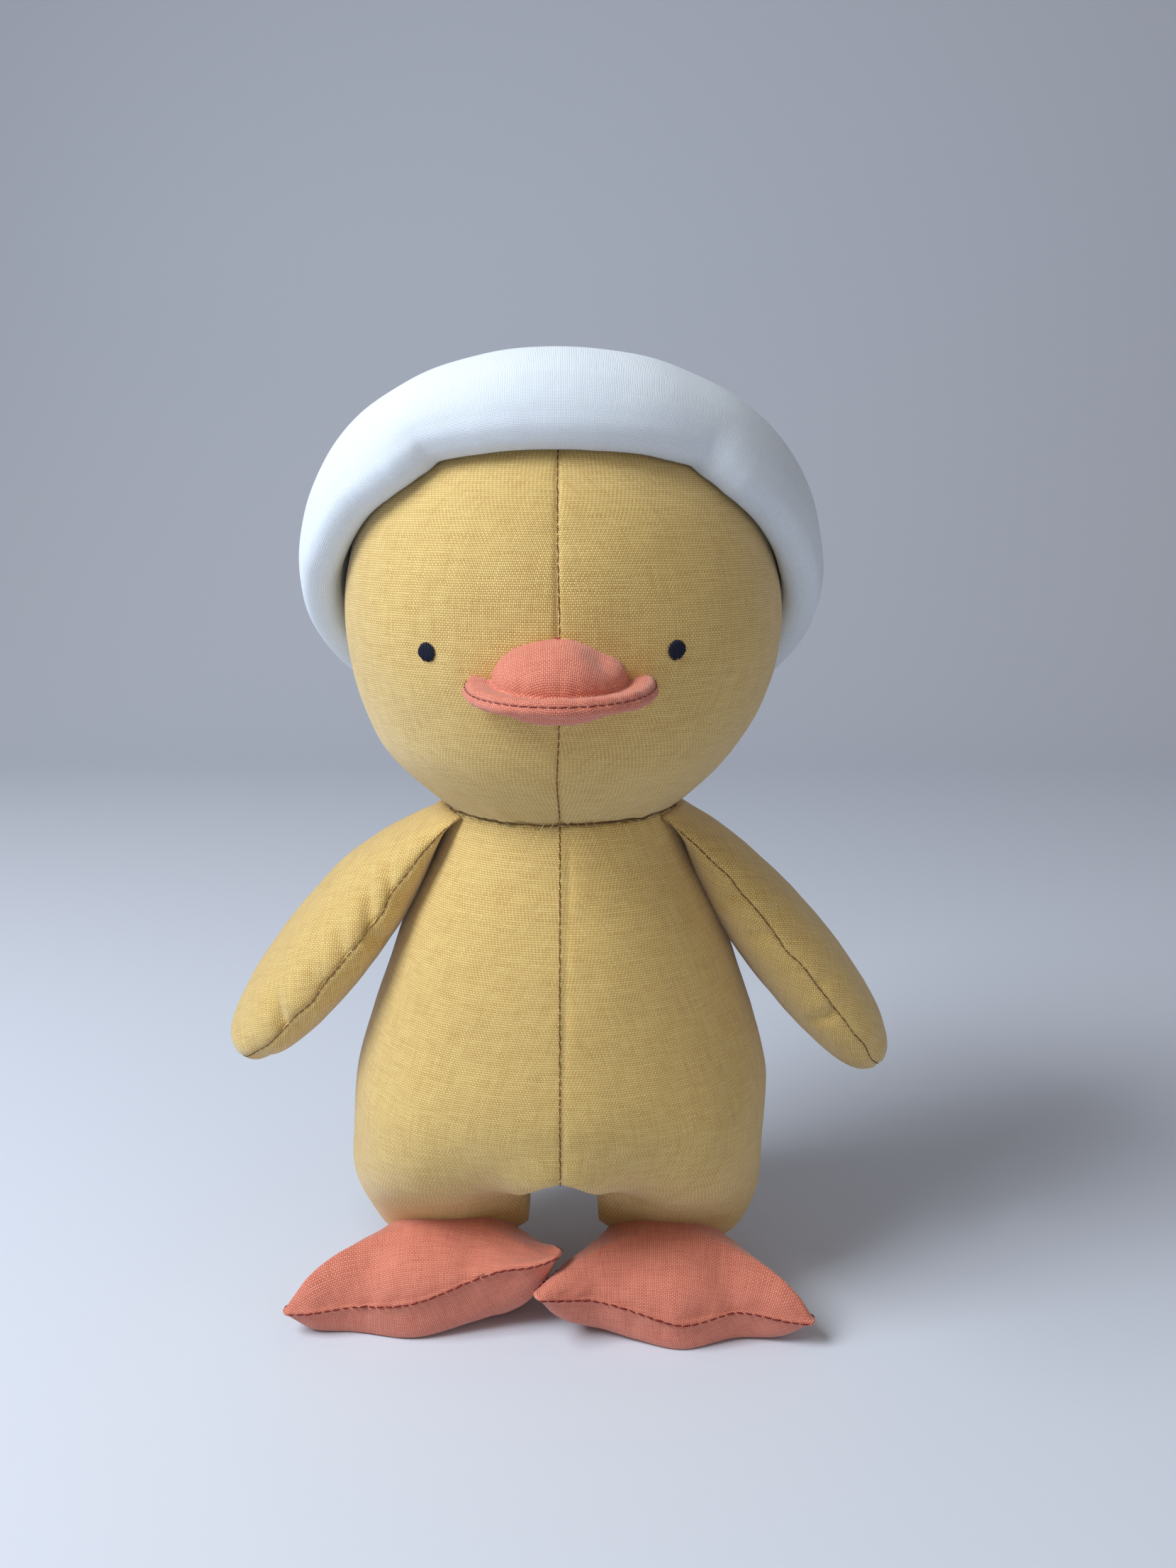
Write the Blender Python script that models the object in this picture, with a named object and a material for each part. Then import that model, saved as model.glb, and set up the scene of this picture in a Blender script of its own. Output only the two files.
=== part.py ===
"""A handmade cloth duck with a stuffed body, head, wings and webbed feet, and a hat with a turned-up brim.

It stands on its soles and faces -Y. Left and right are the duck's own, so its left side is +X.
Every cloth panel is a thin shell, every stuffing a solid inside its panels. Sizes are in metres.
"""
import math

import bmesh
import bpy
from mathutils import Matrix, Vector

# The cloth, the gap between two pieces that touch, and the gap between two that turn on each other
cloth_thickness = 0.0007
clearance = 0.0003
turning_clearance = 0.0005

# The body: its underside, its neck and its fullest width and depth
body_underside_height = 0.034
neck_height = 0.131
neck_radius = 0.029
neck_ball_drop = 0.0125
body_width = 0.111
body_depth = 0.093

# The head
head_height = 0.1035
head_width = 0.109
head_depth = 0.101
head_lean = 0.002

# The legs and the feet
ankle_height = 0.026
ankle_spread = 0.031
ankle_radius = 0.020
ankle_half_width = 0.0215
leg_half_width = 0.023
leg_half_depth = 0.0245
leg_rise = 0.041
foot_width = 0.068
foot_length = 0.070
foot_seam_height = 0.010
foot_rise = 0.0165
foot_flat_depth = 0.0005
foot_toe_in = math.radians(6)
foot_shift_left = 0.005
foot_shift_right = 0.009
foot_tip_curl_left = 0.004
foot_tip_curl_right = 0.009

# The wings
wing_length = 0.0852
wing_width = 0.044
wing_thickness = 0.0244
wing_root_radius = 0.003
wing_root_drop = 0.0025
wing_fall = math.radians(50.8)
wing_twist = math.radians(14)

# The bill
bill_half_width = 0.0208
bill_reach = 0.021
bill_rise = 0.0105
bill_drop = 0.007
bill_level = 0.0367
bill_centre_depth = 0.0465
bill_slope = math.radians(10)

# The eyes, worked in thread
eye_width = 0.0040
eye_height = 0.0047
eye_bulge = 0.0009
eye_spread = 0.028
eye_level = 0.0428

# The hat: a side band, a round crown and a turned-up brim, worn tilted back
hat_tilt = math.radians(42)
hat_level = 0.0494
hat_slack = 0.0007
hat_band_height = 0.0285
hat_crown_rise = 0.0282
hat_brim_cloth = 0.0014
hat_brim_height = 0.0282
hat_brim_fullness = 0.0100

# How finely the round shapes are divided
form_segments = 20
stuffing_segments = form_segments // 2
limb_segments = 12
foot_segments = 24
seat_segments = 20
bill_segments = 16
eye_segments = 12
hat_steps = 40

# What follows from the sizes above
neck_ball_centre = Vector((0, 0, neck_height - neck_ball_drop))
neck_ball_radius = math.hypot(neck_radius, neck_ball_drop)
head_base_height = neck_height + 2 * clearance
wing_root_height = neck_height - wing_root_drop
bill_height = head_base_height + bill_level
eye_centre_height = head_base_height + eye_level
hat_centre_height = head_base_height + hat_level
hat_radius = head_width / 2 + hat_slack
LEFT, RIGHT = 1, -1
SIDE_NAMES = {LEFT: "left", RIGHT: "right"}


for old in list(bpy.data.objects):
    bpy.data.objects.remove(old, do_unlink=True)
parts = bpy.data.collections.new("plush_duck")
cutters = bpy.data.collections.new("cutters")
bpy.context.scene.collection.children.link(parts)
bpy.context.scene.collection.children.link(cutters)


def cloth(name, colour, roughness=0.9):
    """A plain woven cloth, or thread, of one colour."""
    made = bpy.data.materials.new(name)
    made.use_nodes = True
    shader = made.node_tree.nodes["Principled BSDF"]
    shader.inputs["Base Color"].default_value = (*colour, 1)
    shader.inputs["Roughness"].default_value = roughness
    shader.inputs["Metallic"].default_value = 0
    return made


yellow_cloth = cloth("yellow_cloth", (0.68, 0.45, 0.13))
coral_cloth = cloth("coral_cloth", (0.67, 0.19, 0.12))
white_cloth = cloth("white_cloth", (0.78, 0.79, 0.83))
stuffing = cloth("stuffing", (0.80, 0.76, 0.68), 1.0)
eye_thread = cloth("eye_thread", (0.012, 0.015, 0.035), 0.55)


# Forms: closed surfaces of rings that panels and stuffings are taken from

def ring_form(row_count, segments, place, panel_side, seam_axis=None):
    """A closed surface. place(row, turn) is a point of it, panel_side(row, turn) its side of the seam.

    Each vertex keeps the direction that points outwards, which at the seam lies in the seam's plane.
    """
    form = bmesh.new()
    bmesh.ops.create_uvsphere(form, u_segments=segments, v_segments=row_count - 1, radius=1)
    row_layer = form.verts.layers.int.new("row")
    side_layer = form.verts.layers.int.new("side")
    outward_layer = form.verts.layers.float_vector.new("outward")
    for vertex in form.verts:
        fall = math.acos(max(-1, min(1, vertex.co.z))) / math.pi
        row = round((1 - fall) * (row_count - 1))
        turn = math.atan2(vertex.co.y, vertex.co.x)
        vertex[row_layer] = row
        vertex[side_layer] = panel_side(row, turn)
        vertex.co = place(row, turn)
    form.normal_update()
    bmesh.ops.recalc_face_normals(form, faces=form.faces)
    form.normal_update()
    for vertex in form.verts:
        outward = vertex.normal.copy()
        if seam_axis is not None and vertex[side_layer] == 0:
            outward[seam_axis] = 0
            outward.normalize()
        vertex[outward_layer] = outward
    return form


def cross_side(row, turn):
    """The side of a seam that runs through both poles of a form."""
    across = round(math.cos(turn), 3)
    return (across > 0) - (across < 0)


def stacked_form(rows, segments, seam_axis=0):
    """Elliptical rings, each a row of height, half width, half depth, centre x and centre y."""
    last = len(rows) - 1

    def place(row, turn):
        height, half_width, half_depth, x, y = rows[row]
        return Vector((x + half_width * math.cos(turn), y + half_depth * math.sin(turn), height))

    def side(row, turn):
        return 0 if row in (0, last) else cross_side(row, turn)

    return ring_form(len(rows), segments, place, side, seam_axis)


def offset(form, distance):
    """A copy of a form, moved outwards by a distance, or inwards where that is below zero."""
    moved = form.copy()
    outward_layer = moved.verts.layers.float_vector["outward"]
    for vertex in moved.verts:
        vertex.co += vertex[outward_layer] * distance
    return moved


def panel(form, side=0, open_rows=(), seam_axis=0):
    """A cloth shell from one side of a form's seam, or from all round it, open at the rows named."""
    made = form.copy()
    row_layer = made.verts.layers.int["row"]
    side_layer = made.verts.layers.int["side"]
    outward_layer = made.verts.layers.float_vector["outward"]
    left_out = [v for v in made.verts if v[row_layer] in open_rows or v[side_layer] * side < 0]
    bmesh.ops.delete(made, geom=left_out, context="VERTS")
    sheet = made.verts[:] + made.edges[:] + made.faces[:]
    doubled = bmesh.ops.extrude_face_region(made, geom=sheet, use_keep_orig=True)
    for vertex in [part for part in doubled["geom"] if isinstance(part, bmesh.types.BMVert)]:
        vertex.co -= vertex[outward_layer] * cloth_thickness
    apart = Vector((0, 0, 0))
    apart[seam_axis] = side * clearance / 2
    bmesh.ops.translate(made, verts=made.verts, vec=apart)
    bmesh.ops.recalc_face_normals(made, faces=made.faces)
    return made


def core(form):
    """The stuffing that fills a form's panels."""
    return offset(form, -cloth_thickness - clearance)


# Objects

def pivot(name, location, parent=None, lean=0):
    """An empty on a joint's axis, which carries the pieces that move with it."""
    made = bpy.data.objects.new(name, None)
    parts.objects.link(made)
    made.parent = parent
    made.location = location
    made.rotation_euler = (lean, 0, 0)
    return made


def add(name, shape, paint, parent, place=None):
    """A named piece made from a bmesh, at the place given in its parent's frame."""
    mesh = bpy.data.meshes.new(name)
    shape.to_mesh(mesh)
    mesh.materials.append(paint)
    mesh.shade_smooth()
    mesh.set_sharp_from_angle(angle=math.radians(50))
    made = bpy.data.objects.new(name, mesh)
    parts.objects.link(made)
    made.parent = parent
    if place is not None:
        made.matrix_local = place
    return made


def add_cutter(name, shape, parent, place=None):
    """A shape that is cut out of others and isn't itself a piece."""
    mesh = bpy.data.meshes.new(name)
    shape.to_mesh(mesh)
    made = bpy.data.objects.new(name, mesh)
    cutters.objects.link(made)
    made.parent = parent
    made.display_type = "WIRE"
    made.hide_render = True
    if place is not None:
        made.matrix_local = place
    return made


def cut(target, tool):
    """Take a cutter's shape out of a piece."""
    modifier = target.modifiers.new(tool.name, "BOOLEAN")
    modifier.operation = "DIFFERENCE"
    modifier.object = tool


def ellipsoid(half_sizes, segments=seat_segments):
    """A closed ellipsoid round its own origin."""
    shape = bmesh.new()
    bmesh.ops.create_uvsphere(shape, u_segments=segments, v_segments=segments // 2, radius=1)
    bmesh.ops.scale(shape, verts=shape.verts, vec=half_sizes)
    return shape


def seat_for(half_sizes):
    """The cutter of a seat for an ellipsoid that turns in it, with its flats clear of the round."""
    outside = 1 / math.cos(math.pi / seat_segments) ** 2
    return ellipsoid([(size + turning_clearance) * outside for size in half_sizes])


weld_share = 0.01


def turned(profile, steps):
    """A profile of radius and height turned round Z. Its ends lie on the axis, or it is a closed loop."""
    shape = bmesh.new()
    corners = [shape.verts.new((radius, 0, height)) for radius, height in profile]
    edges = [shape.edges.new(pair) for pair in zip(corners, corners[1:])]
    if profile[0][0] > 0:
        edges.append(shape.edges.new((corners[-1], corners[0])))
    bmesh.ops.spin(shape, geom=corners + edges, cent=(0, 0, 0), axis=(0, 0, 1),
                   angle=2 * math.pi, steps=steps, use_merge=True)
    bmesh.ops.remove_doubles(shape, verts=shape.verts, dist=clearance * weld_share)
    bmesh.ops.recalc_face_normals(shape, faces=shape.faces)
    return shape


def beside(line, distance):
    """A line of radius and height, moved to its right by a distance."""
    moved = []
    for index, (radius, height) in enumerate(line):
        before = line[max(index - 1, 0)]
        after = line[min(index + 1, len(line) - 1)]
        run, climb = after[0] - before[0], after[1] - before[1]
        scale = distance / math.hypot(run, climb)
        moved.append((radius + climb * scale, height - run * scale))
    return moved


def strip_loop(line, thickness):
    """The closed outline of a strip of cloth whose middle follows a line of radius and height."""
    return beside(line, thickness / 2) + beside(line, -thickness / 2)[::-1]


duck = pivot("duck", (0, 0, 0))


# Body: a pear of two panels, sewn together down the front and the back, open at the neck.
# Its top follows the ball that the head turns on.
body_profile_shares = (
    (0.012, 0.470, 0.470),
    (0.052, 0.770, 0.780),
    (0.113, 0.935, 0.945),
    (0.196, 0.985, 1.000),
    (0.299, 0.952, 0.978),
    (0.412, 0.901, 0.932),
    (0.536, 0.838, 0.878),
    (0.660, 0.757, 0.815),
    (0.763, 0.672, 0.750),
    (0.840, 0.610, 0.700),
)
shoulder_height_shares = (0.912, 0.956, 1.0)


def body_rows():
    rise = neck_height - body_underside_height
    rows = [(body_underside_height, 0, 0, 0, 0)]
    for height_share, width_share, depth_share in body_profile_shares:
        height = body_underside_height + rise * height_share
        rows.append((height, body_width / 2 * width_share, body_depth / 2 * depth_share, 0, 0))
    for height_share in shoulder_height_shares:
        height = body_underside_height + rise * height_share
        radius = math.sqrt(neck_ball_radius ** 2 - (height - neck_ball_centre.z) ** 2)
        rows.append((height, radius, radius, 0, 0))
    rows.append((neck_height, 0, 0, 0, 0))
    return rows


body_form = stacked_form(body_rows(), form_segments)
body_core = core(stacked_form(body_rows(), stuffing_segments))
for side in (LEFT, RIGHT):
    half = panel(body_form, side, open_rows=(len(body_rows()) - 1,))
    add(f"body_panel_{SIDE_NAMES[side]}", half, yellow_cloth, duck)
body_stuffing = add("body_stuffing", body_core, stuffing, duck)
grown_body = add_cutter("grown_body", offset(body_form, clearance), duck)


# Neck: a plug of stuffing in the body's opening, whose dome carries the head
neck_plug_depth = 0.012
neck_dome_steps = 6


def neck_profile():
    lip_height = neck_height + clearance
    lip_angle = math.acos((lip_height - neck_ball_centre.z) / neck_ball_radius)
    dome = [(neck_ball_radius * math.sin(lip_angle * step / neck_dome_steps),
             neck_ball_radius * math.cos(lip_angle * step / neck_dome_steps))
            for step in range(neck_dome_steps + 1)]
    dome[0] = (0, neck_ball_radius)
    plug_radius = neck_radius - cloth_thickness - clearance
    lip = lip_height - neck_ball_centre.z
    base = neck_height - neck_plug_depth - neck_ball_centre.z
    return dome + [(plug_radius, lip), (plug_radius, base), (0, base)]


neck_turn = pivot("neck_turn", neck_ball_centre, duck)
add("neck_stuffing", turned(neck_profile(), seat_segments), stuffing, neck_turn)
plug_seat = bmesh.new()
bmesh.ops.create_cone(plug_seat, cap_ends=True, segments=seat_segments, radius1=body_width / 2,
                      radius2=body_width / 2, depth=2 * neck_plug_depth)
plug_seat_place = Matrix.Translation((0, 0, neck_height - clearance))
cut(body_stuffing, add_cutter("plug_seat", plug_seat, duck, plug_seat_place))


# Head: two panels with a seam down the middle of the face, open at the neck
head_nod = pivot("head_nod", (0, 0, 0), neck_turn)
head_profile_shares = (
    (0.043, 0.630, 0.660),
    (0.096, 0.725, 0.755),
    (0.163, 0.824, 0.855),
    (0.251, 0.910, 0.934),
    (0.352, 0.972, 0.986),
    (0.468, 1.000, 1.000),
    (0.594, 0.977, 0.980),
    (0.720, 0.897, 0.903),
    (0.826, 0.762, 0.768),
    (0.913, 0.578, 0.584),
    (0.971, 0.350, 0.356),
)
head_rim_share = 1.014


def head_rows():
    rim = neck_radius * head_rim_share
    rows = [(head_base_height, 0, 0, 0, 0), (head_base_height, rim, rim, 0, 0)]
    for height_share, width_share, depth_share in head_profile_shares:
        lean = head_lean * min(1, height_share / head_profile_shares[3][0])
        rows.append((head_base_height + head_height * height_share, head_width / 2 * width_share,
                     head_depth / 2 * depth_share, 0, lean))
    rows.append((head_base_height + head_height, 0, 0, 0, head_lean))
    return rows


to_head = Matrix.Translation(-neck_ball_centre)
head_form = stacked_form(head_rows(), form_segments)
for side in (LEFT, RIGHT):
    half = panel(head_form, side, open_rows=(0,))
    add(f"head_panel_{SIDE_NAMES[side]}", half, yellow_cloth, head_nod, to_head)
head_core = core(stacked_form(head_rows(), stuffing_segments))
head_stuffing = add("head_stuffing", head_core, stuffing, head_nod, to_head)
grown_head = add_cutter("grown_head", offset(head_form, clearance), head_nod, to_head)
cut(head_stuffing, add_cutter("neck_socket", seat_for([neck_ball_radius] * 3), head_nod))
head_stuffing_lift = 0.0025
trim = bmesh.new()
bmesh.ops.create_cone(trim, cap_ends=True, segments=seat_segments, radius1=head_width / 2,
                      radius2=head_width / 2, depth=2 * head_stuffing_lift)
trim_place = Matrix.Translation(Vector((0, 0, head_base_height)) - neck_ball_centre)
cut(head_stuffing, add_cutter("head_stuffing_trim", trim, head_nod, trim_place))


# Legs: stuffed stubs that leave the body's underside and end in a rounded stump in the foot
ankle_angles = (28, 56, 84)
leg_profile_shares = (
    (0.15, 0.952, 0.790, 0.013),
    (0.34, 1.000, 0.900, 0.032),
    (0.58, 1.000, 1.000, 0.016),
    (0.83, 0.826, 0.900, -0.065),
)
leg_top_share = -0.13


def leg_rows(side):
    """Rings from the stump up, in the ankle's frame. The last share moves a ring outwards."""
    rows = [(-ankle_radius, 0, 0, 0, 0)]
    for angle in ankle_angles:
        turn = math.radians(angle)
        reach = math.sin(turn)
        rows.append((-ankle_radius * math.cos(turn), ankle_half_width * reach, ankle_radius * reach, 0, 0))
    for height_share, width_share, depth_share, outward_share in leg_profile_shares:
        rows.append((leg_rise * height_share, leg_half_width * width_share,
                     leg_half_depth * depth_share, side * ankle_spread * outward_share, 0))
    rows.append((leg_rise, 0, 0, side * ankle_spread * leg_top_share, 0))
    return rows


# Feet: a top and a sole sewn together round a three-pointed web, flat below.
# An outline point is a share of half the foot's width outwards and a share of its length back.
foot_outline_shares = (
    (-1.000, -0.471),
    (-0.500, -0.521),
    (0.000, -0.657),
    (0.500, -0.543),
    (1.000, -0.543),
    (0.910, -0.286),
    (0.794, 0.030),
    (0.500, 0.320),
    (0.000, 0.390),
    (-0.500, 0.320),
    (-0.794, 0.030),
    (-0.910, -0.257),
)
foot_section_shares = (
    (0.00, -1.00),
    (0.81, -0.99),
    (0.91, -0.76),
    (0.975, -0.38),
    (1.00, 0.00),
    (0.88, 0.27),
    (0.68, 0.58),
    (0.38, 0.87),
    (0.00, 1.00),
)
foot_middle_share = -0.14
foot_curl_start_share = 0.66
foot_shift = {LEFT: foot_shift_left, RIGHT: foot_shift_right}
foot_tip_curl = {LEFT: foot_tip_curl_left, RIGHT: foot_tip_curl_right}


def outline_point(points, turn):
    """A point of the smooth closed curve through a list of points, at a share of the way round."""
    count = len(points)
    place = turn * count
    start = math.floor(place)
    share = place - start
    a, b, c, d = (Vector(points[(start + step) % count]) for step in (-1, 0, 1, 2))
    return 0.5 * ((2 * b) + (c - a) * share + (2 * a - 5 * b + 4 * c - d) * share ** 2
                  + (3 * b - a - 3 * c + d) * share ** 3)


def foot_form(side):
    """A pillow between the sole's flat and the instep, in the ankle's frame."""
    seam_row = [height for _, height in foot_section_shares].index(0)
    middle = Vector((0, foot_middle_share))

    def place(row, turn):
        reach_share, height_share = foot_section_shares[row]
        outline = outline_point(foot_outline_shares, turn / (2 * math.pi) % 1)
        spot = middle + (outline - middle) * reach_share
        inward = max(0, (-spot.x - foot_curl_start_share) / (1 - foot_curl_start_share))
        thick = foot_rise if height_share > 0 else foot_seam_height + foot_flat_depth
        height = max(0, foot_seam_height + thick * height_share)
        height += foot_tip_curl[side] * inward ** 1.5
        x, y = spot.x * foot_width / 2, spot.y * foot_length
        turned_x = x * math.cos(foot_toe_in) + y * math.sin(foot_toe_in)
        turned_y = y * math.cos(foot_toe_in) - x * math.sin(foot_toe_in)
        return Vector((side * (turned_x + foot_shift[side]), turned_y, height - ankle_height))

    def panel_side(row, turn):
        return (row > seam_row) - (row < seam_row)

    return ring_form(len(foot_section_shares), foot_segments, place, panel_side, seam_axis=2)


for side in (LEFT, RIGHT):
    name = SIDE_NAMES[side]
    ankle = pivot(f"ankle_{name}", (side * ankle_spread, 0, ankle_height), duck)
    leg_form = stacked_form(leg_rows(side), limb_segments)
    leg_cover = panel(leg_form, open_rows=(len(leg_rows(side)) - 1,))
    to_ankle = Matrix.Translation(ankle.location)
    for leg_piece in (add(f"leg_cover_{name}", leg_cover, yellow_cloth, duck, to_ankle),
                      add(f"leg_stuffing_{name}", core(leg_form), stuffing, duck, to_ankle)):
        cut(leg_piece, grown_body)
    pillow = foot_form(side)
    upper, sole = panel(pillow, 1, seam_axis=2), panel(pillow, -1, seam_axis=2)
    for half in (upper, sole):
        bmesh.ops.translate(half, verts=half.verts, vec=(0, 0, clearance / 2))
    foot_top = add(f"foot_top_{name}", upper, coral_cloth, ankle)
    add(f"foot_sole_{name}", sole, coral_cloth, ankle)
    foot_stuffing = add(f"foot_stuffing_{name}", core(pillow), stuffing, ankle)
    stump = (ankle_half_width, ankle_radius, ankle_radius)
    stump_seat = add_cutter(f"stump_seat_{name}", seat_for(stump), ankle)
    cut(foot_top, stump_seat)
    cut(foot_stuffing, stump_seat)


# Wings: leaves of two panels that hang from the shoulders, with the seam along both edges.
# A row is a share of the length, of the half thickness and of the half width.
wing_profile_shares = (
    (0.000, 0.246, 0.360),
    (0.059, 0.410, 0.520),
    (0.141, 0.615, 0.700),
    (0.282, 0.852, 0.890),
    (0.446, 0.984, 1.000),
    (0.610, 1.000, 0.980),
    (0.751, 0.900, 0.840),
    (0.869, 0.705, 0.640),
    (0.951, 0.426, 0.410),
)
wing_twist_end_share = 0.282


def wing_form():
    """A leaf along Z, with its thickness along X and its front edge at -Y, twisted past the root."""
    rows = [(-wing_root_radius, 0, 0)]
    for length_share, thick_share, width_share in wing_profile_shares:
        rows.append((wing_length * length_share, wing_thickness / 2 * thick_share,
                     wing_width / 2 * width_share))
    rows.append((wing_length, 0, 0))
    last = len(rows) - 1

    def place(row, turn):
        along, half_thickness, half_width = rows[row]
        twist = wing_twist * max(0, min(1, along / (wing_length * wing_twist_end_share)))
        x, y = half_thickness * math.cos(turn), half_width * math.sin(turn)
        return Vector((x * math.cos(twist) + y * math.sin(twist),
                       y * math.cos(twist) - x * math.sin(twist), along))

    def side(row, turn):
        return 0 if row in (0, last) else cross_side(row, turn)

    return ring_form(len(rows), limb_segments, place, side)


shoulder_reach = neck_ball_radius + wing_root_radius + clearance
shoulder_rise = wing_root_height - neck_ball_centre.z
shoulder_spread = math.sqrt(shoulder_reach ** 2 - shoulder_rise ** 2)
leaf = wing_form()
for side in (LEFT, RIGHT):
    name = SIDE_NAMES[side]
    shoulder = pivot(f"shoulder_{name}", (side * shoulder_spread, 0, wing_root_height), duck)
    along = Vector((side * math.cos(wing_fall), 0, -math.sin(wing_fall)))
    outward = Vector((side * math.sin(wing_fall), 0, math.cos(wing_fall)))
    hang = Matrix((outward, (0, 1, 0), along)).transposed()
    for part_name, shape, paint in ((f"wing_outer_{name}", panel(leaf, 1), yellow_cloth),
                                    (f"wing_inner_{name}", panel(leaf, -1), yellow_cloth),
                                    (f"wing_stuffing_{name}", core(leaf), stuffing)):
        bmesh.ops.transform(shape, matrix=hang, verts=shape.verts)
        bmesh.ops.recalc_face_normals(shape, faces=shape.faces)
        add(part_name, shape, paint, shoulder)


# Bill: a domed upper panel and a shallow lower one, joined at a raised rim, round a little stuffing
bill_panel_shares = (
    (0.00, -1.00),
    (0.30, -0.94),
    (0.55, -0.66),
    (0.73, -0.20),
    (0.87, -0.19),
    (1.00, 0.00),
    (0.87, 0.17),
    (0.77, 0.13),
    (0.70, 0.42),
    (0.56, 0.74),
    (0.32, 0.95),
    (0.00, 1.00),
)
bill_stuffing_shares = (
    (0.00, -1.00),
    (0.30, -0.86),
    (0.48, -0.54),
    (0.58, 0.00),
    (0.66, 0.22),
    (0.67, 0.42),
    (0.54, 0.72),
    (0.32, 0.94),
    (0.00, 1.00),
)


def bill_form(section_shares):
    """An oval pillow round the middle of the bill's rim, with its front at -Y."""
    heights = [height for _, height in section_shares]
    seam_row = heights.index(0) if 0 in heights else 0

    def place(row, turn):
        reach_share, height_share = section_shares[row]
        thick = bill_drop if height_share < 0 else bill_rise
        return Vector((bill_half_width * reach_share * math.cos(turn),
                       bill_reach * reach_share * math.sin(turn), thick * height_share))

    def panel_side(row, turn):
        return (row > seam_row) - (row < seam_row)

    return ring_form(len(section_shares), bill_segments, place, panel_side, seam_axis=2)


bill_place = (Matrix.Translation(Vector((0, -bill_centre_depth, bill_height)) - neck_ball_centre)
              @ Matrix.Rotation(bill_slope, 4, "X"))
bill_panels = bill_form(bill_panel_shares)
for part_name, shape, paint in (
        ("bill_upper", panel(bill_panels, 1, seam_axis=2), coral_cloth),
        ("bill_lower", panel(bill_panels, -1, seam_axis=2), coral_cloth),
        ("bill_stuffing", core(bill_form(bill_stuffing_shares)), stuffing)):
    cut(add(part_name, shape, paint, head_nod, bill_place), grown_head)


# Eyes: two ovals of thread on the face
def face_point(height, across):
    """The face's surface at a height and a distance from the seam, and the way it faces."""
    rows = head_rows()
    below = max(index for index, row in enumerate(rows) if row[0] <= height)
    share = (height - rows[below][0]) / (rows[below + 1][0] - rows[below][0])
    _, half_width, half_depth, _, middle = (low + (high - low) * share
                                            for low, high in zip(rows[below], rows[below + 1]))
    depth = half_depth * math.sqrt(1 - (across / half_width) ** 2)
    facing = Vector((across / half_width ** 2, -depth / half_depth ** 2, 0)).normalized()
    return Vector((across, middle - depth, height)), facing


for side in (LEFT, RIGHT):
    spot, facing = face_point(eye_centre_height, side * eye_spread)
    patch = ellipsoid((eye_width / 2, eye_bulge, eye_height / 2), eye_segments)
    turn = math.atan2(facing.x, -facing.y)
    eye_place = Matrix.Translation(spot - neck_ball_centre) @ Matrix.Rotation(turn, 4, "Z")
    cut(add(f"eye_{SIDE_NAMES[side]}", patch, eye_thread, head_nod, eye_place), grown_head)


# Hat: everything is turned round the hat's own axis, from its middle inside the head.
# A point is a share of the radius at the band and a share of the height of its piece.
band_profile_shares = (
    (1.000, -0.053),
    (1.000, 0.280),
    (0.970, 0.630),
    (0.905, 0.947),
)
crown_profile_shares = (
    (0.898, 0.000),
    (0.826, 0.245),
    (0.689, 0.540),
    (0.510, 0.770),
    (0.277, 0.943),
    (0.000, 1.000),
)
brim_line_shares = (
    (0.000, 0.260),
    (0.060, 0.080),
    (0.270, 0.000),
    (0.580, 0.030),
    (0.860, 0.200),
    (1.000, 0.480),
    (0.940, 0.760),
    (0.680, 0.950),
    (0.360, 1.000),
    (0.120, 0.920),
    (0.060, 0.760),
)
brim_drop_share = 0.095

hat_seat = pivot("hat_seat", Vector((0, head_lean, hat_centre_height)) - neck_ball_centre,
                 head_nod, -hat_tilt)
band_line = [(hat_radius * radius + cloth_thickness / 2, hat_band_height * height)
             for radius, height in band_profile_shares]
add("hat_side_band", turned(strip_loop(band_line, cloth_thickness), hat_steps), white_cloth, hat_seat)

crown_base = hat_band_height * band_profile_shares[-1][1] + clearance
crown_inner = [(hat_radius * radius, crown_base + hat_crown_rise * height)
               for radius, height in crown_profile_shares]
crown_outer = beside(crown_inner, cloth_thickness)
crown_outer[0] = (crown_inner[0][0] + cloth_thickness, crown_inner[0][1])
crown_outer[-1] = (0, crown_inner[-1][1] + cloth_thickness)
add("hat_crown", turned(crown_inner[::-1] + crown_outer, hat_steps), white_cloth, hat_seat)

brim_inner_radius = hat_radius + cloth_thickness + clearance + hat_brim_cloth / 2
brim_line = [(brim_inner_radius + (hat_brim_fullness - hat_brim_cloth) * radius,
              hat_brim_height * (height - brim_drop_share)) for radius, height in brim_line_shares]
add("hat_brim", turned(strip_loop(brim_line, hat_brim_cloth), hat_steps), white_cloth, hat_seat)

bpy.context.view_layer.update()
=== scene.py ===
import math
import random

import bmesh
import bpy
import numpy as np
from mathutils import Matrix, Vector, noise
from mathutils.bvhtree import BVHTree


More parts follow.
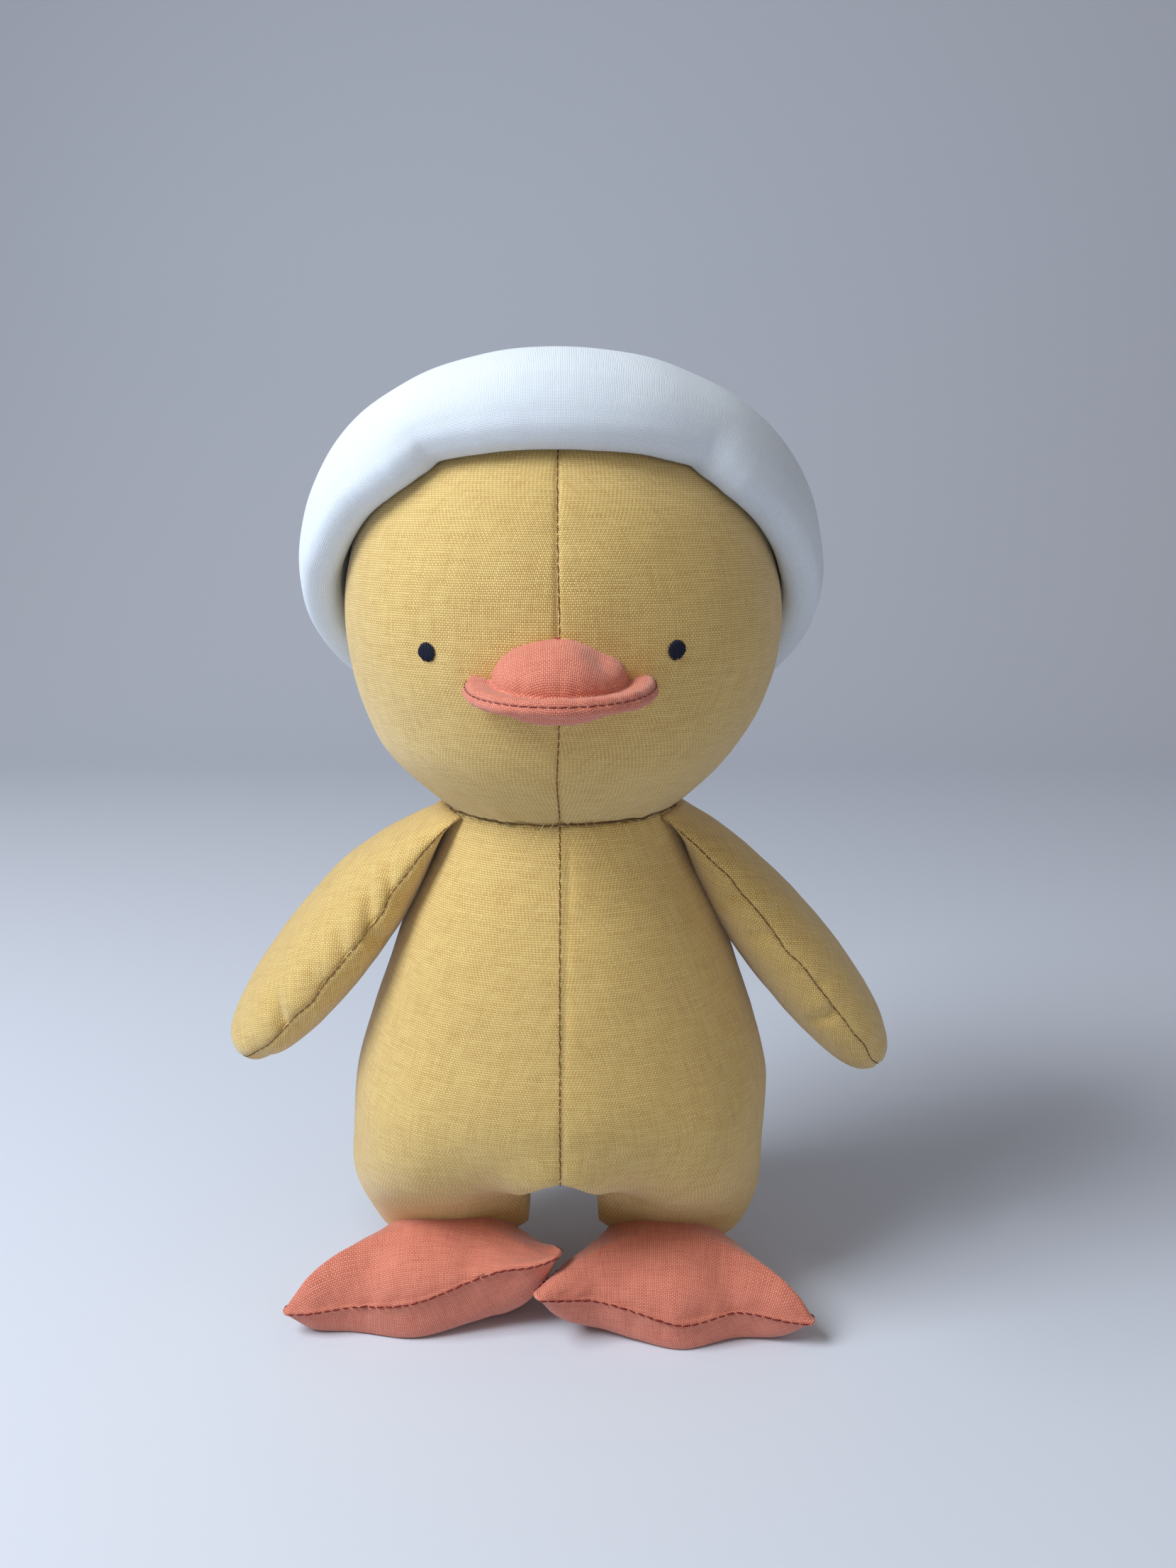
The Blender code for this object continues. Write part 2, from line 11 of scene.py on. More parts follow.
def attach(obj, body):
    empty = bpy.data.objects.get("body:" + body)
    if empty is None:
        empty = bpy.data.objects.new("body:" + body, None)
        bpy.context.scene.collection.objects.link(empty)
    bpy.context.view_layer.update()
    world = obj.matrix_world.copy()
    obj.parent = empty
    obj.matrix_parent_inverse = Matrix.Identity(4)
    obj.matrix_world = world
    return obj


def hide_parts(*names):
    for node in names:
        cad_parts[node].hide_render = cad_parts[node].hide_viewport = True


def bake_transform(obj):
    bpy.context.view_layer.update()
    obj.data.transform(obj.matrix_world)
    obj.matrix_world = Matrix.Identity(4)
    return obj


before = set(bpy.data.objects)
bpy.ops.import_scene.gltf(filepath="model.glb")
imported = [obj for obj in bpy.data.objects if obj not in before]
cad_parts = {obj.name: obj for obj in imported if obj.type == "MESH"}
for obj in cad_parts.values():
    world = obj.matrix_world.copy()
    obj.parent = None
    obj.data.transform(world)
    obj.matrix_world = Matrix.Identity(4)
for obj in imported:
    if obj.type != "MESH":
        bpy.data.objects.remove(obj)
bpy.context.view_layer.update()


# Yellow cotton: a plain weave of mustard thread, about 20 to the centimetre, dyed a little unevenly.
# The weave follows each piece's own cut, which its UV map "cut" holds in metres of cloth.
class Field:
    """A value or a colour inside a finish, so that a weave can be written as a sum."""

    def __init__(self, finish, socket):
        self.finish = finish
        self.socket = socket

    def maths(self, operation, *others):
        values = dict(enumerate([self, *others]))
        return self.finish.node("Math", {"operation": operation}, values)

    def __add__(self, other):
        return self.maths("ADD", other)

    def __sub__(self, other):
        return self.maths("SUBTRACT", other)

    def __rsub__(self, other):
        return self.finish.node("Math", {"operation": "SUBTRACT"}, {0: other, 1: self})

    def __mul__(self, other):
        return self.maths("MULTIPLY", other)

    def __truediv__(self, other):
        return self.maths("DIVIDE", other)

    def __pow__(self, other):
        return self.maths("POWER", other)

    __radd__ = __add__
    __rmul__ = __mul__


class Finish:
    """A material that is put together node by node."""

    def __init__(self, name):
        self.material = bpy.data.materials.new(name)
        self.material.use_nodes = True
        self.tree = self.material.node_tree
        self.tree.nodes.clear()

    def node(self, kind, settings=None, inputs=None, output=0):
        made = self.tree.nodes.new("ShaderNode" + kind)
        for name, value in (settings or {}).items():
            if name == "stops":
                ramp = made.color_ramp
                while len(ramp.elements) < len(value):
                    ramp.elements.new(0.5)
                for element, (place, colour) in zip(ramp.elements, value):
                    element.position = place
                    element.color = (*colour, 1)
            else:
                setattr(made, name, value)
        for name, value in (inputs or {}).items():
            if isinstance(value, Field):
                self.tree.links.new(value.socket, made.inputs[name])
            else:
                made.inputs[name].default_value = value
        return Field(self, made.outputs[output] if made.outputs else None)

    def parts(self, vector):
        """The first two numbers of a vector."""
        split = self.node("SeparateXYZ", None, {0: vector})
        outputs = split.socket.node.outputs
        return Field(self, outputs[0]), Field(self, outputs[1])

    def place(self, x, y, z=0):
        return self.node("CombineXYZ", None, {0: x, 1: y, 2: z})

    def cloud(self, vector, scale, detail=2):
        """Soft noise from 0 to 1."""
        return self.node("TexNoise", None, {"Vector": vector, "Scale": scale, "Detail": detail})

    def blend(self, share, low, high):
        """Two colours mixed by a share."""
        return self.node("Mix", {"data_type": "RGBA"}, {0: share, 6: low, 7: high}, 2)

    def surface(self, **inputs):
        inputs = {name.replace("_", " "): value for name, value in inputs.items()}
        shader = self.node("BsdfPrincipled", None, inputs)
        self.node("OutputMaterial", None, {"Surface": shader})
        return self.material


def woven(name, colour, ply_tone_and_gap_shade, pitch=(0.00046, 0.00055), slub=0.16, crumple=0.00012, sheen=0.12):
    """Plain-weave cotton in one colour, with painted shade in the gaps between its threads."""
    sway, thread_depth = 0.00032, 0.00016
    finish = Finish(name)
    cut = finish.node("UVMap", {"uv_map": "cut"})
    own = finish.node("TexCoord", None, None, 3)
    u, v = finish.parts(cut)
    warp = (u + (finish.cloud(cut, 260, 1) - 0.5) * sway) / pitch[0]
    weft = (v + (finish.cloud(cut, 190, 1) - 0.5) * sway) / pitch[1]
    warp_row = warp.maths("FLOOR")
    weft_row = weft.maths("FLOOR")
    over = (warp_row + weft_row).maths("FLOORED_MODULO", 2)
    warp_round = (warp.maths("FRACT") * math.pi).maths("SINE")
    weft_round = (weft.maths("FRACT") * math.pi).maths("SINE")
    warp_thick = finish.cloud(finish.place(warp_row * 3.7, v * 140), 1, 1)
    weft_thick = finish.cloud(finish.place(u * 140, weft_row * 3.7), 1, 1)
    warp_top = warp_round ** 0.6 * (weft_round * 0.5 + 0.5) * (warp_thick * 0.5 + 0.75)
    weft_top = weft_round ** 0.6 * (warp_round * 0.5 + 0.5) * (weft_thick * 0.5 + 0.75)
    height = over * warp_top + (1 - over) * weft_top
    thread = over * warp_thick + (1 - over) * weft_thick
    fibre = finish.cloud(finish.place(u, v), 5200, 2)
    # The share of the thread colour: low in the gaps between threads, where the second colour is painted
    # shade, and varied at random by slub and fibres.
    thread_tone_and_gap_shade = height * (over * 0.34 + 0.74) + (thread - 0.5) * slub * 3 + (fibre - 0.5) * 0.3 + 0.02
    dye = finish.cloud(own, 38, 3)
    fresh = finish.blend(dye, [c * 0.94 for c in colour] + [1], [min(1, c * 1.06) for c in colour] + [1])
    paint = finish.blend(thread_tone_and_gap_shade.maths("MAXIMUM", 0).maths("MINIMUM", 1), [*ply_tone_and_gap_shade, 1], fresh)
    rumple = finish.cloud(own, 210, 3)
    soft = finish.node("Bump", None, {"Strength": 0.5, "Distance": crumple * 4, "Height": rumple})
    fine = finish.node("Bump", None,
                       {"Strength": 0.7, "Distance": thread_depth, "Height": height, "Normal": soft})
    return finish.surface(Base_Color=paint, Roughness=0.66, Normal=fine, Sheen_Weight=sheen,
                          Sheen_Roughness=0.4, Specular_IOR_Level=0.35)


# The second colour is painted shade for the gaps between the threads.
yellow_cotton = woven("yellow_cotton", (0.88, 0.685, 0.265), (0.36, 0.150, 0.012), sheen=0.42)


# Body and legs: two panels of yellow cotton, sewn down the front and the back and round each leg, then
# stuffed tight. The legs are swellings of the same cloth, so they are one skin with the body here.
def smooth_line(knots, count, before=None, after=None):
    """A smooth curve through rows of numbers, as count rows spread evenly along it."""
    knots = np.array(knots, float)
    first = 2 * knots[0] - knots[1] if before is None else np.array(before, float)
    last = 2 * knots[-1] - knots[-2] if after is None else np.array(after, float)
    knots = np.vstack([first, knots, last])
    fine = []
    share = np.linspace(0, 1, 40, endpoint=False)[:, None]
    for a, b, c, d in zip(knots, knots[1:], knots[2:], knots[3:]):
        ab, bc, cd = (np.linalg.norm(q - p) + 1e-9 for p, q in ((a, b), (b, c), (c, d)))
        into = ((b - a) / ab * bc + (c - b) / bc * ab) / (ab + bc) * bc
        away = ((c - b) / bc * cd + (d - c) / cd * bc) / (bc + cd) * bc
        fine.append(b * (1 + 2 * share) * (1 - share) ** 2 + c * share ** 2 * (3 - 2 * share)
                    + into * share * (1 - share) ** 2 - away * share ** 2 * (1 - share))
    fine = np.vstack([*fine, knots[-2][None]])
    run = np.concatenate([[0], np.cumsum(np.linalg.norm(np.diff(fine, axis=0), axis=1))])
    even = np.linspace(0, run[-1], count)
    return np.array([np.interp(even, run, column) for column in fine.T]).T


def seam_turns(half_count, crowd=0.6):
    """Angles round a two-panel piece, closer together at its two seams."""
    share = np.arange(half_count) / half_count
    share = share - crowd * np.sin(2 * math.pi * share) / (2 * math.pi)
    return np.concatenate([share * math.pi, math.pi + share * math.pi])


def grid_normals(points):
    """Outward directions of a grid whose rows close on themselves."""
    across = np.roll(points, -1, axis=1) - np.roll(points, 1, axis=1)
    along = np.gradient(points, axis=0)
    facing = np.cross(across, along)
    return facing / (np.linalg.norm(facing, axis=2, keepdims=True) + 1e-12)


def ripple(along, pitch, seed):
    """Uneven gathers along a seam, from -1 to 1."""
    draw = random.Random(seed)
    total = 0
    for share, weight in ((0.7, 0.3), (1.0, 0.45), (1.45, 0.35), (2.6, 0.3)):
        total = total + weight * np.sin(2 * math.pi * along / (pitch * share) + draw.uniform(0, 6.28))
    return total


def near(value, middle, reach):
    """1 at the middle, fading to 0 beyond the reach."""
    return np.exp(-((value - middle) / reach) ** 2)


def seam_pull(away, along, depth, reach, gather, pitch, seed):
    """How far a seam pulls the cloth in, by the distance from it and the place along it."""
    valley = depth * near(away, 0, reach) + 0.25 * depth * near(away, 0, 4 * reach)
    beside = near(away, 0, 5 * reach) * (1 - 0.75 * near(away, 0, 1.3 * reach))
    return valley + gather * ripple(along, pitch, seed) * beside


def crumpled(points, facing, amount, size, seed):
    """Points moved a little along their own directions by soft noise."""
    moved = points.reshape(-1, 3).copy()
    way = facing.reshape(-1, 3)
    shift = Vector((seed * 3.1, seed * 1.7, seed * 0.9))
    lift = [noise.noise(Vector(p) / size + shift) + 0.5 * noise.noise(Vector(p) * 2.3 / size + shift)
            for p in moved]
    moved += way * (np.array(lift) * amount)[:, None]
    return moved.reshape(points.shape)


def panel_cut(points, half):
    """Where each point of one panel lies on the flat cloth, measured from the panel's middle."""
    count = points.shape[1] // 2
    columns = np.arange(half * count, (half + 1) * count + 1) % points.shape[1]
    panel = points[:, columns]
    steps = np.linalg.norm(np.diff(panel, axis=1), axis=2)
    u = np.concatenate([np.zeros((len(points), 1)), np.cumsum(steps, axis=1)], axis=1)
    u -= u[:, count // 2][:, None]
    rise = np.linalg.norm(np.diff(panel[:, count // 2], axis=0), axis=1)
    v = np.concatenate([[0], np.cumsum(rise)])[:, None] + 0 * u
    return np.stack([u, v + 0.37 * half], axis=2)


def placed(name, data):
    """An object of some data, in the scene."""
    made = bpy.data.objects.new(name, data)
    bpy.context.scene.collection.objects.link(made)
    return made


def sewn_shell(name, points, cuts, finish, low_end=None, high_end=None):
    """A skin of quads from rings of points, with its panels' cuts as its UV map."""
    rows, columns = points.shape[:2]
    corners = [tuple(p) for p in points.reshape(-1, 3)]
    half = columns // 2
    faces = []
    spots = []
    for row in range(rows - 1):
        for column in range(columns):
            beside = (column + 1) % columns
            faces.append((row * columns + column, row * columns + beside,
                          (row + 1) * columns + beside, (row + 1) * columns + column))
            cut = cuts[column // half]
            place = column % half
            spots += [cut[row, place], cut[row, place + 1], cut[row + 1, place + 1], cut[row + 1, place]]
    for row, end in ((0, low_end), (rows - 1, high_end)):
        if end is None:
            continue
        corners.append(tuple(end))
        for column in range(columns):
            beside = (column + 1) % columns
            cut = cuts[column // half]
            place = column % half
            middle = cut[row, half // 2]
            pair = (row * columns + column, row * columns + beside)
            spot = (cut[row, place], cut[row, place + 1])
            if row == 0:
                pair, spot = pair[::-1], spot[::-1]
            faces.append((*pair, len(corners) - 1))
            spots += [*spot, middle]
    mesh = bpy.data.meshes.new(name)
    mesh.from_pydata(corners, [], faces)
    layer = mesh.uv_layers.new(name="cut")
    layer.data.foreach_set("uv", np.array(spots, np.float32).ravel())
    mesh.materials.append(finish)
    mesh.shade_smooth()
    mesh.validate()
    return placed(name, mesh)


def oval_rings(line, turns):
    """Rings round Z from a line of height, half width, half depth and middle. Turn 0 is the front."""
    height, width, depth, middle = (column[:, None] for column in line.T)
    x = width * np.sin(turns)
    y = middle - depth * np.cos(turns)
    return np.stack([x, y, height + 0 * x], axis=2)


def finished_copy(source, name):
    """A plain mesh of what an object's modifiers make, in its place."""
    bpy.context.view_layer.update()
    shape = bpy.data.meshes.new_from_object(source.evaluated_get(bpy.context.evaluated_depsgraph_get()))
    shape.name = name
    made = placed(name, shape)
    bpy.data.objects.remove(source)
    return made


body_knots = [
    (0.0340, 0.0000, 0.0000, 0),
    (0.0352, 0.0261, 0.0200, 0),
    (0.0390, 0.0427, 0.0330, 0),
    (0.0450, 0.0522, 0.0410, 0),
    (0.0530, 0.0551, 0.0455, 0),
    (0.0630, 0.0538, 0.0455, 0),
    (0.0740, 0.0513, 0.0435, 0),
    (0.0860, 0.0479, 0.0410, 0),
    (0.0980, 0.0434, 0.0382, 0),
    (0.1080, 0.0387, 0.0353, 0),
    (0.1155, 0.0351, 0.0330, 0),
    (0.1225, 0.0319, 0.0313, 0),
    (0.1267, 0.0305, 0.0303, 0),
    (0.1310, 0.0292, 0.0291, 0),
    (0.1345, 0.0286, 0.0284, 0),
]
leg_knots = [
    (0.0095, 0.0000, 0.0000, 0.0300),
    (0.0108, 0.0100, 0.0070, 0.0304),
    (0.0150, 0.0172, 0.0105, 0.0310),
    (0.0215, 0.0206, 0.0140, 0.0314),
    (0.0280, 0.0228, 0.0205, 0.0322),
    (0.0330, 0.0240, 0.0272, 0.0317),
    (0.0365, 0.0250, 0.0320, 0.0307),
    (0.0395, 0.0258, 0.0345, 0.0299),
    (0.0440, 0.0265, 0.0374, 0.0290),
    (0.0520, 0.0262, 0.0392, 0.0282),
    (0.0620, 0.0210, 0.0390, 0.0262),
    (0.0700, 0.0120, 0.0300, 0.0245),
    (0.0730, 0.0000, 0.0000, 0.0240),
]


LEFT, RIGHT = 1, -1
SIDES = {LEFT: "left", RIGHT: "right"}
leg_forward, forward_below, forward_fade = 0.0045, 0.038, 0.020
arch_height, arch_radius, arch_tall = 0.0322, 0.0094, 1.40
mesh_size = 0.0018


def rough_pear(name, knots, side=0):
    """A closed form to weld others to: the body, or the leg of one side."""
    line = smooth_line(knots, 60)
    forward = leg_forward * abs(side)
    turns = np.linspace(0, 2 * math.pi, 72, endpoint=False)
    points = oval_rings(line[1:-1] * (1, 1, 1, 0), turns)
    points[:, :, 0] += side * line[1:-1, 3][:, None]
    points[:, :, 1] -= forward * np.clip((forward_below - points[:, :, 2]) / forward_fade, 0, 1)
    blank = np.zeros((len(points), len(turns) // 2 + 1, 2))
    low = Vector((side * line[0, 3], -forward, line[0, 0]))
    high = Vector((side * line[-1, 3], 0, line[-1, 0]))
    return sewn_shell(name, points, [blank, blank], yellow_cotton, low, high)


pear = rough_pear("pear", body_knots)
bpy.ops.mesh.primitive_cylinder_add(vertices=48, radius=arch_radius, depth=0.12,
                                    location=(0, 0, arch_height), rotation=(math.pi / 2, 0, 0),
                                    scale=(1, arch_tall, 1))
arch = bpy.context.object
forms = [(rough_pear("leg", leg_knots, side), "UNION") for side in SIDES] + [(arch, "DIFFERENCE")]
for form, operation in forms:
    weld = pear.modifiers.new("weld", "BOOLEAN")
    weld.operation = operation
    weld.object = form
welded = finished_copy(pear, "body_skin")
for form, _ in forms:
    bpy.data.objects.remove(form)
remesh = welded.modifiers.new("even", "REMESH")
remesh.mode = "VOXEL"
remesh.voxel_size = mesh_size
skin = finished_copy(welded, "body_skin")


def eased(shape, rounds, share_of):
    """Smooth a mesh where share_of asks for it, by drawing each corner to its neighbours' middle."""
    shape.verts.ensure_lookup_table()
    pairs = np.array([[e.verts[0].index, e.verts[1].index] for e in shape.edges])
    points = np.array([v.co for v in shape.verts])
    share = share_of(points)[:, None]
    count = np.zeros(len(points))
    np.add.at(count, pairs[:, 0], 1)
    np.add.at(count, pairs[:, 1], 1)
    for _ in range(rounds):
        total = np.zeros_like(points)
        np.add.at(total, pairs[:, 0], points[pairs[:, 1]])
        np.add.at(total, pairs[:, 1], points[pairs[:, 0]])
        points += share * 0.5 * (total / count[:, None] - points)
    for vert, point in zip(shape.verts, points):
        vert.co = point


def hip_share(points):
    """Full smoothing where the legs leave the body, little elsewhere."""
    height = points[:, 2]
    inner = near(height, 0.047, 0.016)
    middle = np.exp(-(points[:, 0] / 0.013) ** 4) * (height < 0.050)
    return np.clip(0.10 + inner * (1 - 0.85 * middle), 0, 1) * (height < 0.126)


shape = bmesh.new()
shape.from_mesh(skin.data)
eased(shape, 90, hip_share)
# One half is kept and mirrored, so that a straight row of corners lies along the seam.
bmesh.ops.bisect_plane(shape, geom=shape.verts[:] + shape.edges[:] + shape.faces[:], dist=1e-6,
                       plane_co=(0, 0, 0), plane_no=(1, 0, 0), clear_inner=True)
for vert in shape.verts:
    if abs(vert.co.x) < 0.0004:
        vert.co.x = 0
bmesh.ops.remove_doubles(shape, verts=shape.verts, dist=0.0003)
twin = shape.copy()
half_mesh = bpy.data.meshes.new("half")
bmesh.ops.scale(twin, verts=twin.verts, vec=(-1, 1, 1))
bmesh.ops.reverse_faces(twin, faces=twin.faces)
twin.to_mesh(half_mesh)
shape.from_mesh(half_mesh)
bmesh.ops.remove_doubles(shape, verts=shape.verts, dist=1e-6)
bmesh.ops.recalc_face_normals(shape, faces=shape.faces)
shape.to_mesh(skin.data)
shape.free()
twin.free()
bpy.data.meshes.remove(half_mesh)
finer = skin.modifiers.new("finer", "SUBSURF")
finer.levels = finer.render_levels = 1
body = finished_copy(skin, "body_cloth")

crotch_folds = [
    (0.0125, 0.0345, 0.45, 0.0050, 0.0013, 0.0009),
    (-0.0150, 0.0350, -0.40, 0.0050, 0.0018, 0.0005),
    (0.0200, 0.0310, 0.25, 0.0050, 0.0016, 0.0005),
]
shape = bmesh.new()
shape.from_mesh(body.data)
points = np.array([v.co for v in shape.verts])
facing = np.array([v.normal for v in shape.verts])
# The arch's wall is drawn back to its round, and the cloth hangs a little lower beside its top.
rise = np.maximum(points[:, 2] - arch_height, 0) / arch_tall
from_axis = np.hypot(points[:, 0], rise)
from_arch = np.stack([points[:, 0], 0 * rise, rise], axis=1) / (from_axis[:, None] + 1e-9)
facing_arch = np.clip(-1.6 * (facing * from_arch).sum(axis=1), 0, 1)
close = np.clip((0.010 - (from_axis - arch_radius)) / 0.005, 0, 1)
close = close * np.clip((points[:, 2] - 0.010) / 0.008, 0, 1)
points -= from_arch * (1, 1, arch_tall) * ((from_axis - arch_radius) * facing_arch * close)[:, None]
lip = near(np.abs(points[:, 0]), 0.0100, 0.0044) * near(points[:, 2], 0.0425, 0.0070)
points[:, 2] -= 0.0007 * lip * np.clip((np.abs(points[:, 1]) - 0.020) / 0.010, 0, 1)
# The seam down the front and the back, and the small folds that run out from the arch.
away = np.abs(points[:, 0])
along = points[:, 2] + 0.2 * (points[:, 1] > 0)
front_back = np.clip((np.abs(points[:, 1]) - 0.004) / 0.01, 0, 1)
pull = seam_pull(away, along, 0.00030, 0.0009, 0.00020, 0.013, 4) * front_back
for fold_x, fold_z, turn, length, wide, depth in crotch_folds:
    beside = (points[:, 0] - fold_x) * math.sin(turn) + (points[:, 2] - fold_z) * math.cos(turn)
    ahead = (points[:, 0] - fold_x) * math.cos(turn) - (points[:, 2] - fold_z) * math.sin(turn)
    pull = pull + depth * near(beside, 0, wide) * near(ahead, 0, length) * (points[:, 1] < 0)
pull = pull * np.clip((0.1312 - points[:, 2]) / 0.004, 0.15, 1)
points -= facing * pull[:, None]
# No such toy is even: the seam wanders, the hips are full, the waist slim and the right leg thick.
points[:, 0] += 0.0009 * near(points[:, 0], 0, 0.012)
points[:, 0] -= 0.0010 * near(points[:, 2], 0.038, 0.020)
points[:, 0] += 0.0013 * np.clip((points[:, 2] - 0.07) / 0.05, 0, 1) * near(points[:, 0], 0, 0.020)
fuller = 0.017 * near(points[:, 2], 0.058, 0.013)
slimmer = 0.016 * near(points[:, 2], 0.089, 0.012)
right_leg = 0.018 * (points[:, 0] < 0) * near(points[:, 2], 0.036, 0.010)
points[:, 0] *= 1 + fuller - slimmer + right_leg
points = crumpled(points[None], facing[None], 0.00022, 0.016, 2)[0]
for vert, point in zip(shape.verts, points):
    vert.co = point
# The cloth is wrapped round the body, and lower down round each leg.
layer = shape.loops.layers.uv.get("cut") or shape.loops.layers.uv.new("cut")
leg_share = np.clip((0.050 - points[:, 2]) / 0.020, 0, 1)
leg_share = leg_share * leg_share * (3 - 2 * leg_share)
centre_x = 0.031 * leg_share
body_line = smooth_line(body_knots, 200)
reach = np.interp(points[:, 2], body_line[:, 0], body_line[:, 1])
reach = np.where(points[:, 2] < 0.053, 0.0547 - centre_x, reach)
turn = np.arctan2(points[:, 1], np.abs(points[:, 0]) - centre_x)
for face in shape.faces:
    side = LEFT if face.calc_center_median().x > 0 else RIGHT
    turns = [turn[loop.vert.index] for loop in face.loops]
    wraps = max(turns) - min(turns) > math.pi
    for loop, angle in zip(face.loops, turns):
        if wraps and angle < 0:
            angle += 2 * math.pi
        index = loop.vert.index
        loop[layer].uv = (side * angle * reach[index], points[index, 2] * 1.03 + 0.4 * (side > 0))
shape.to_mesh(body.data)
shape.free()
body.data.materials.clear()
body.data.materials.append(yellow_cotton)
body.data.shade_smooth()
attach(body, "body")
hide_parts("body_panel_left", "body_panel_right", "body_stuffing",
            "leg_cover_left", "leg_cover_right", "leg_stuffing_left", "leg_stuffing_right")


# Seam thread: one line of machine stitches lies in each seam, dark yellow-brown in the yellow cloth and dark
# red in the coral. Pale threads of the cut edges stand out of the seams here and there.
def spun(name, colour, ply_tone_and_gap_shade):
    """Twisted cotton thread."""
    finish = Finish(name)
    own = finish.node("TexCoord", None, None, 3)
    ply = finish.cloud(own, 4200, 2)
    paint = finish.blend(ply, [*ply_tone_and_gap_shade, 1], [*colour, 1])
    bump = finish.node("Bump", None, {"Strength": 0.5, "Distance": 0.00006, "Height": ply})
    return finish.surface(Base_Color=paint, Roughness=0.75, Normal=bump, Specular_IOR_Level=0.3)


brown_thread = spun("brown_thread", (0.24, 0.105, 0.032), (0.09, 0.032, 0.010))
red_thread = spun("red_thread", (0.26, 0.025, 0.018), (0.10, 0.008, 0.008))
pale_thread = spun("pale_thread", (0.75, 0.62, 0.44), (0.45, 0.30, 0.16))


def tube_faces(start, rings, segments):
    """The faces of a closed tube, whose rings of corners begin at corner start."""
    faces = []
    for ring in range(rings - 1):
        low, high = start + ring * segments, start + (ring + 1) * segments
        for segment in range(segments):
            beside = (segment + 1) % segments
            faces.append((low + segment, low + beside, high + beside, high + segment))
    last = start + (rings - 1) * segments
    faces.append(tuple(start + segment for segment in range(segments))[::-1])
    faces.append(tuple(last + segment for segment in range(segments)))
    return faces


def faced_out(mesh, merge=0):
    """Turn a mesh's faces outwards, after its doubles are merged where a distance is given."""
    shape = bmesh.new()
    shape.from_mesh(mesh)
    if merge:
        bmesh.ops.remove_doubles(shape, verts=shape.verts, dist=merge)
    bmesh.ops.recalc_face_normals(shape, faces=shape.faces)
    shape.to_mesh(mesh)
    shape.free()


def capsule(name, length, thickness, bow, segments=6, rings=7):
    """One stitch along X, whose ends dip down into the cloth."""
    corners = []
    for ring in range(rings):
        share = ring / (rings - 1) * 2 - 1
        radius = thickness / 2 * math.sqrt(max(0.02, 1 - abs(share) ** 3))
        for segment in range(segments):
            turn = 2 * math.pi * segment / segments
            corners.append((share * length / 2, radius * math.cos(turn),
                            radius * math.sin(turn) - bow * share * share))
    mesh = bpy.data.meshes.new(name)
    mesh.from_pydata(corners, [], tube_faces(0, rings, segments))
    mesh.shade_smooth()
    faced_out(mesh)
    return placed(name, mesh)


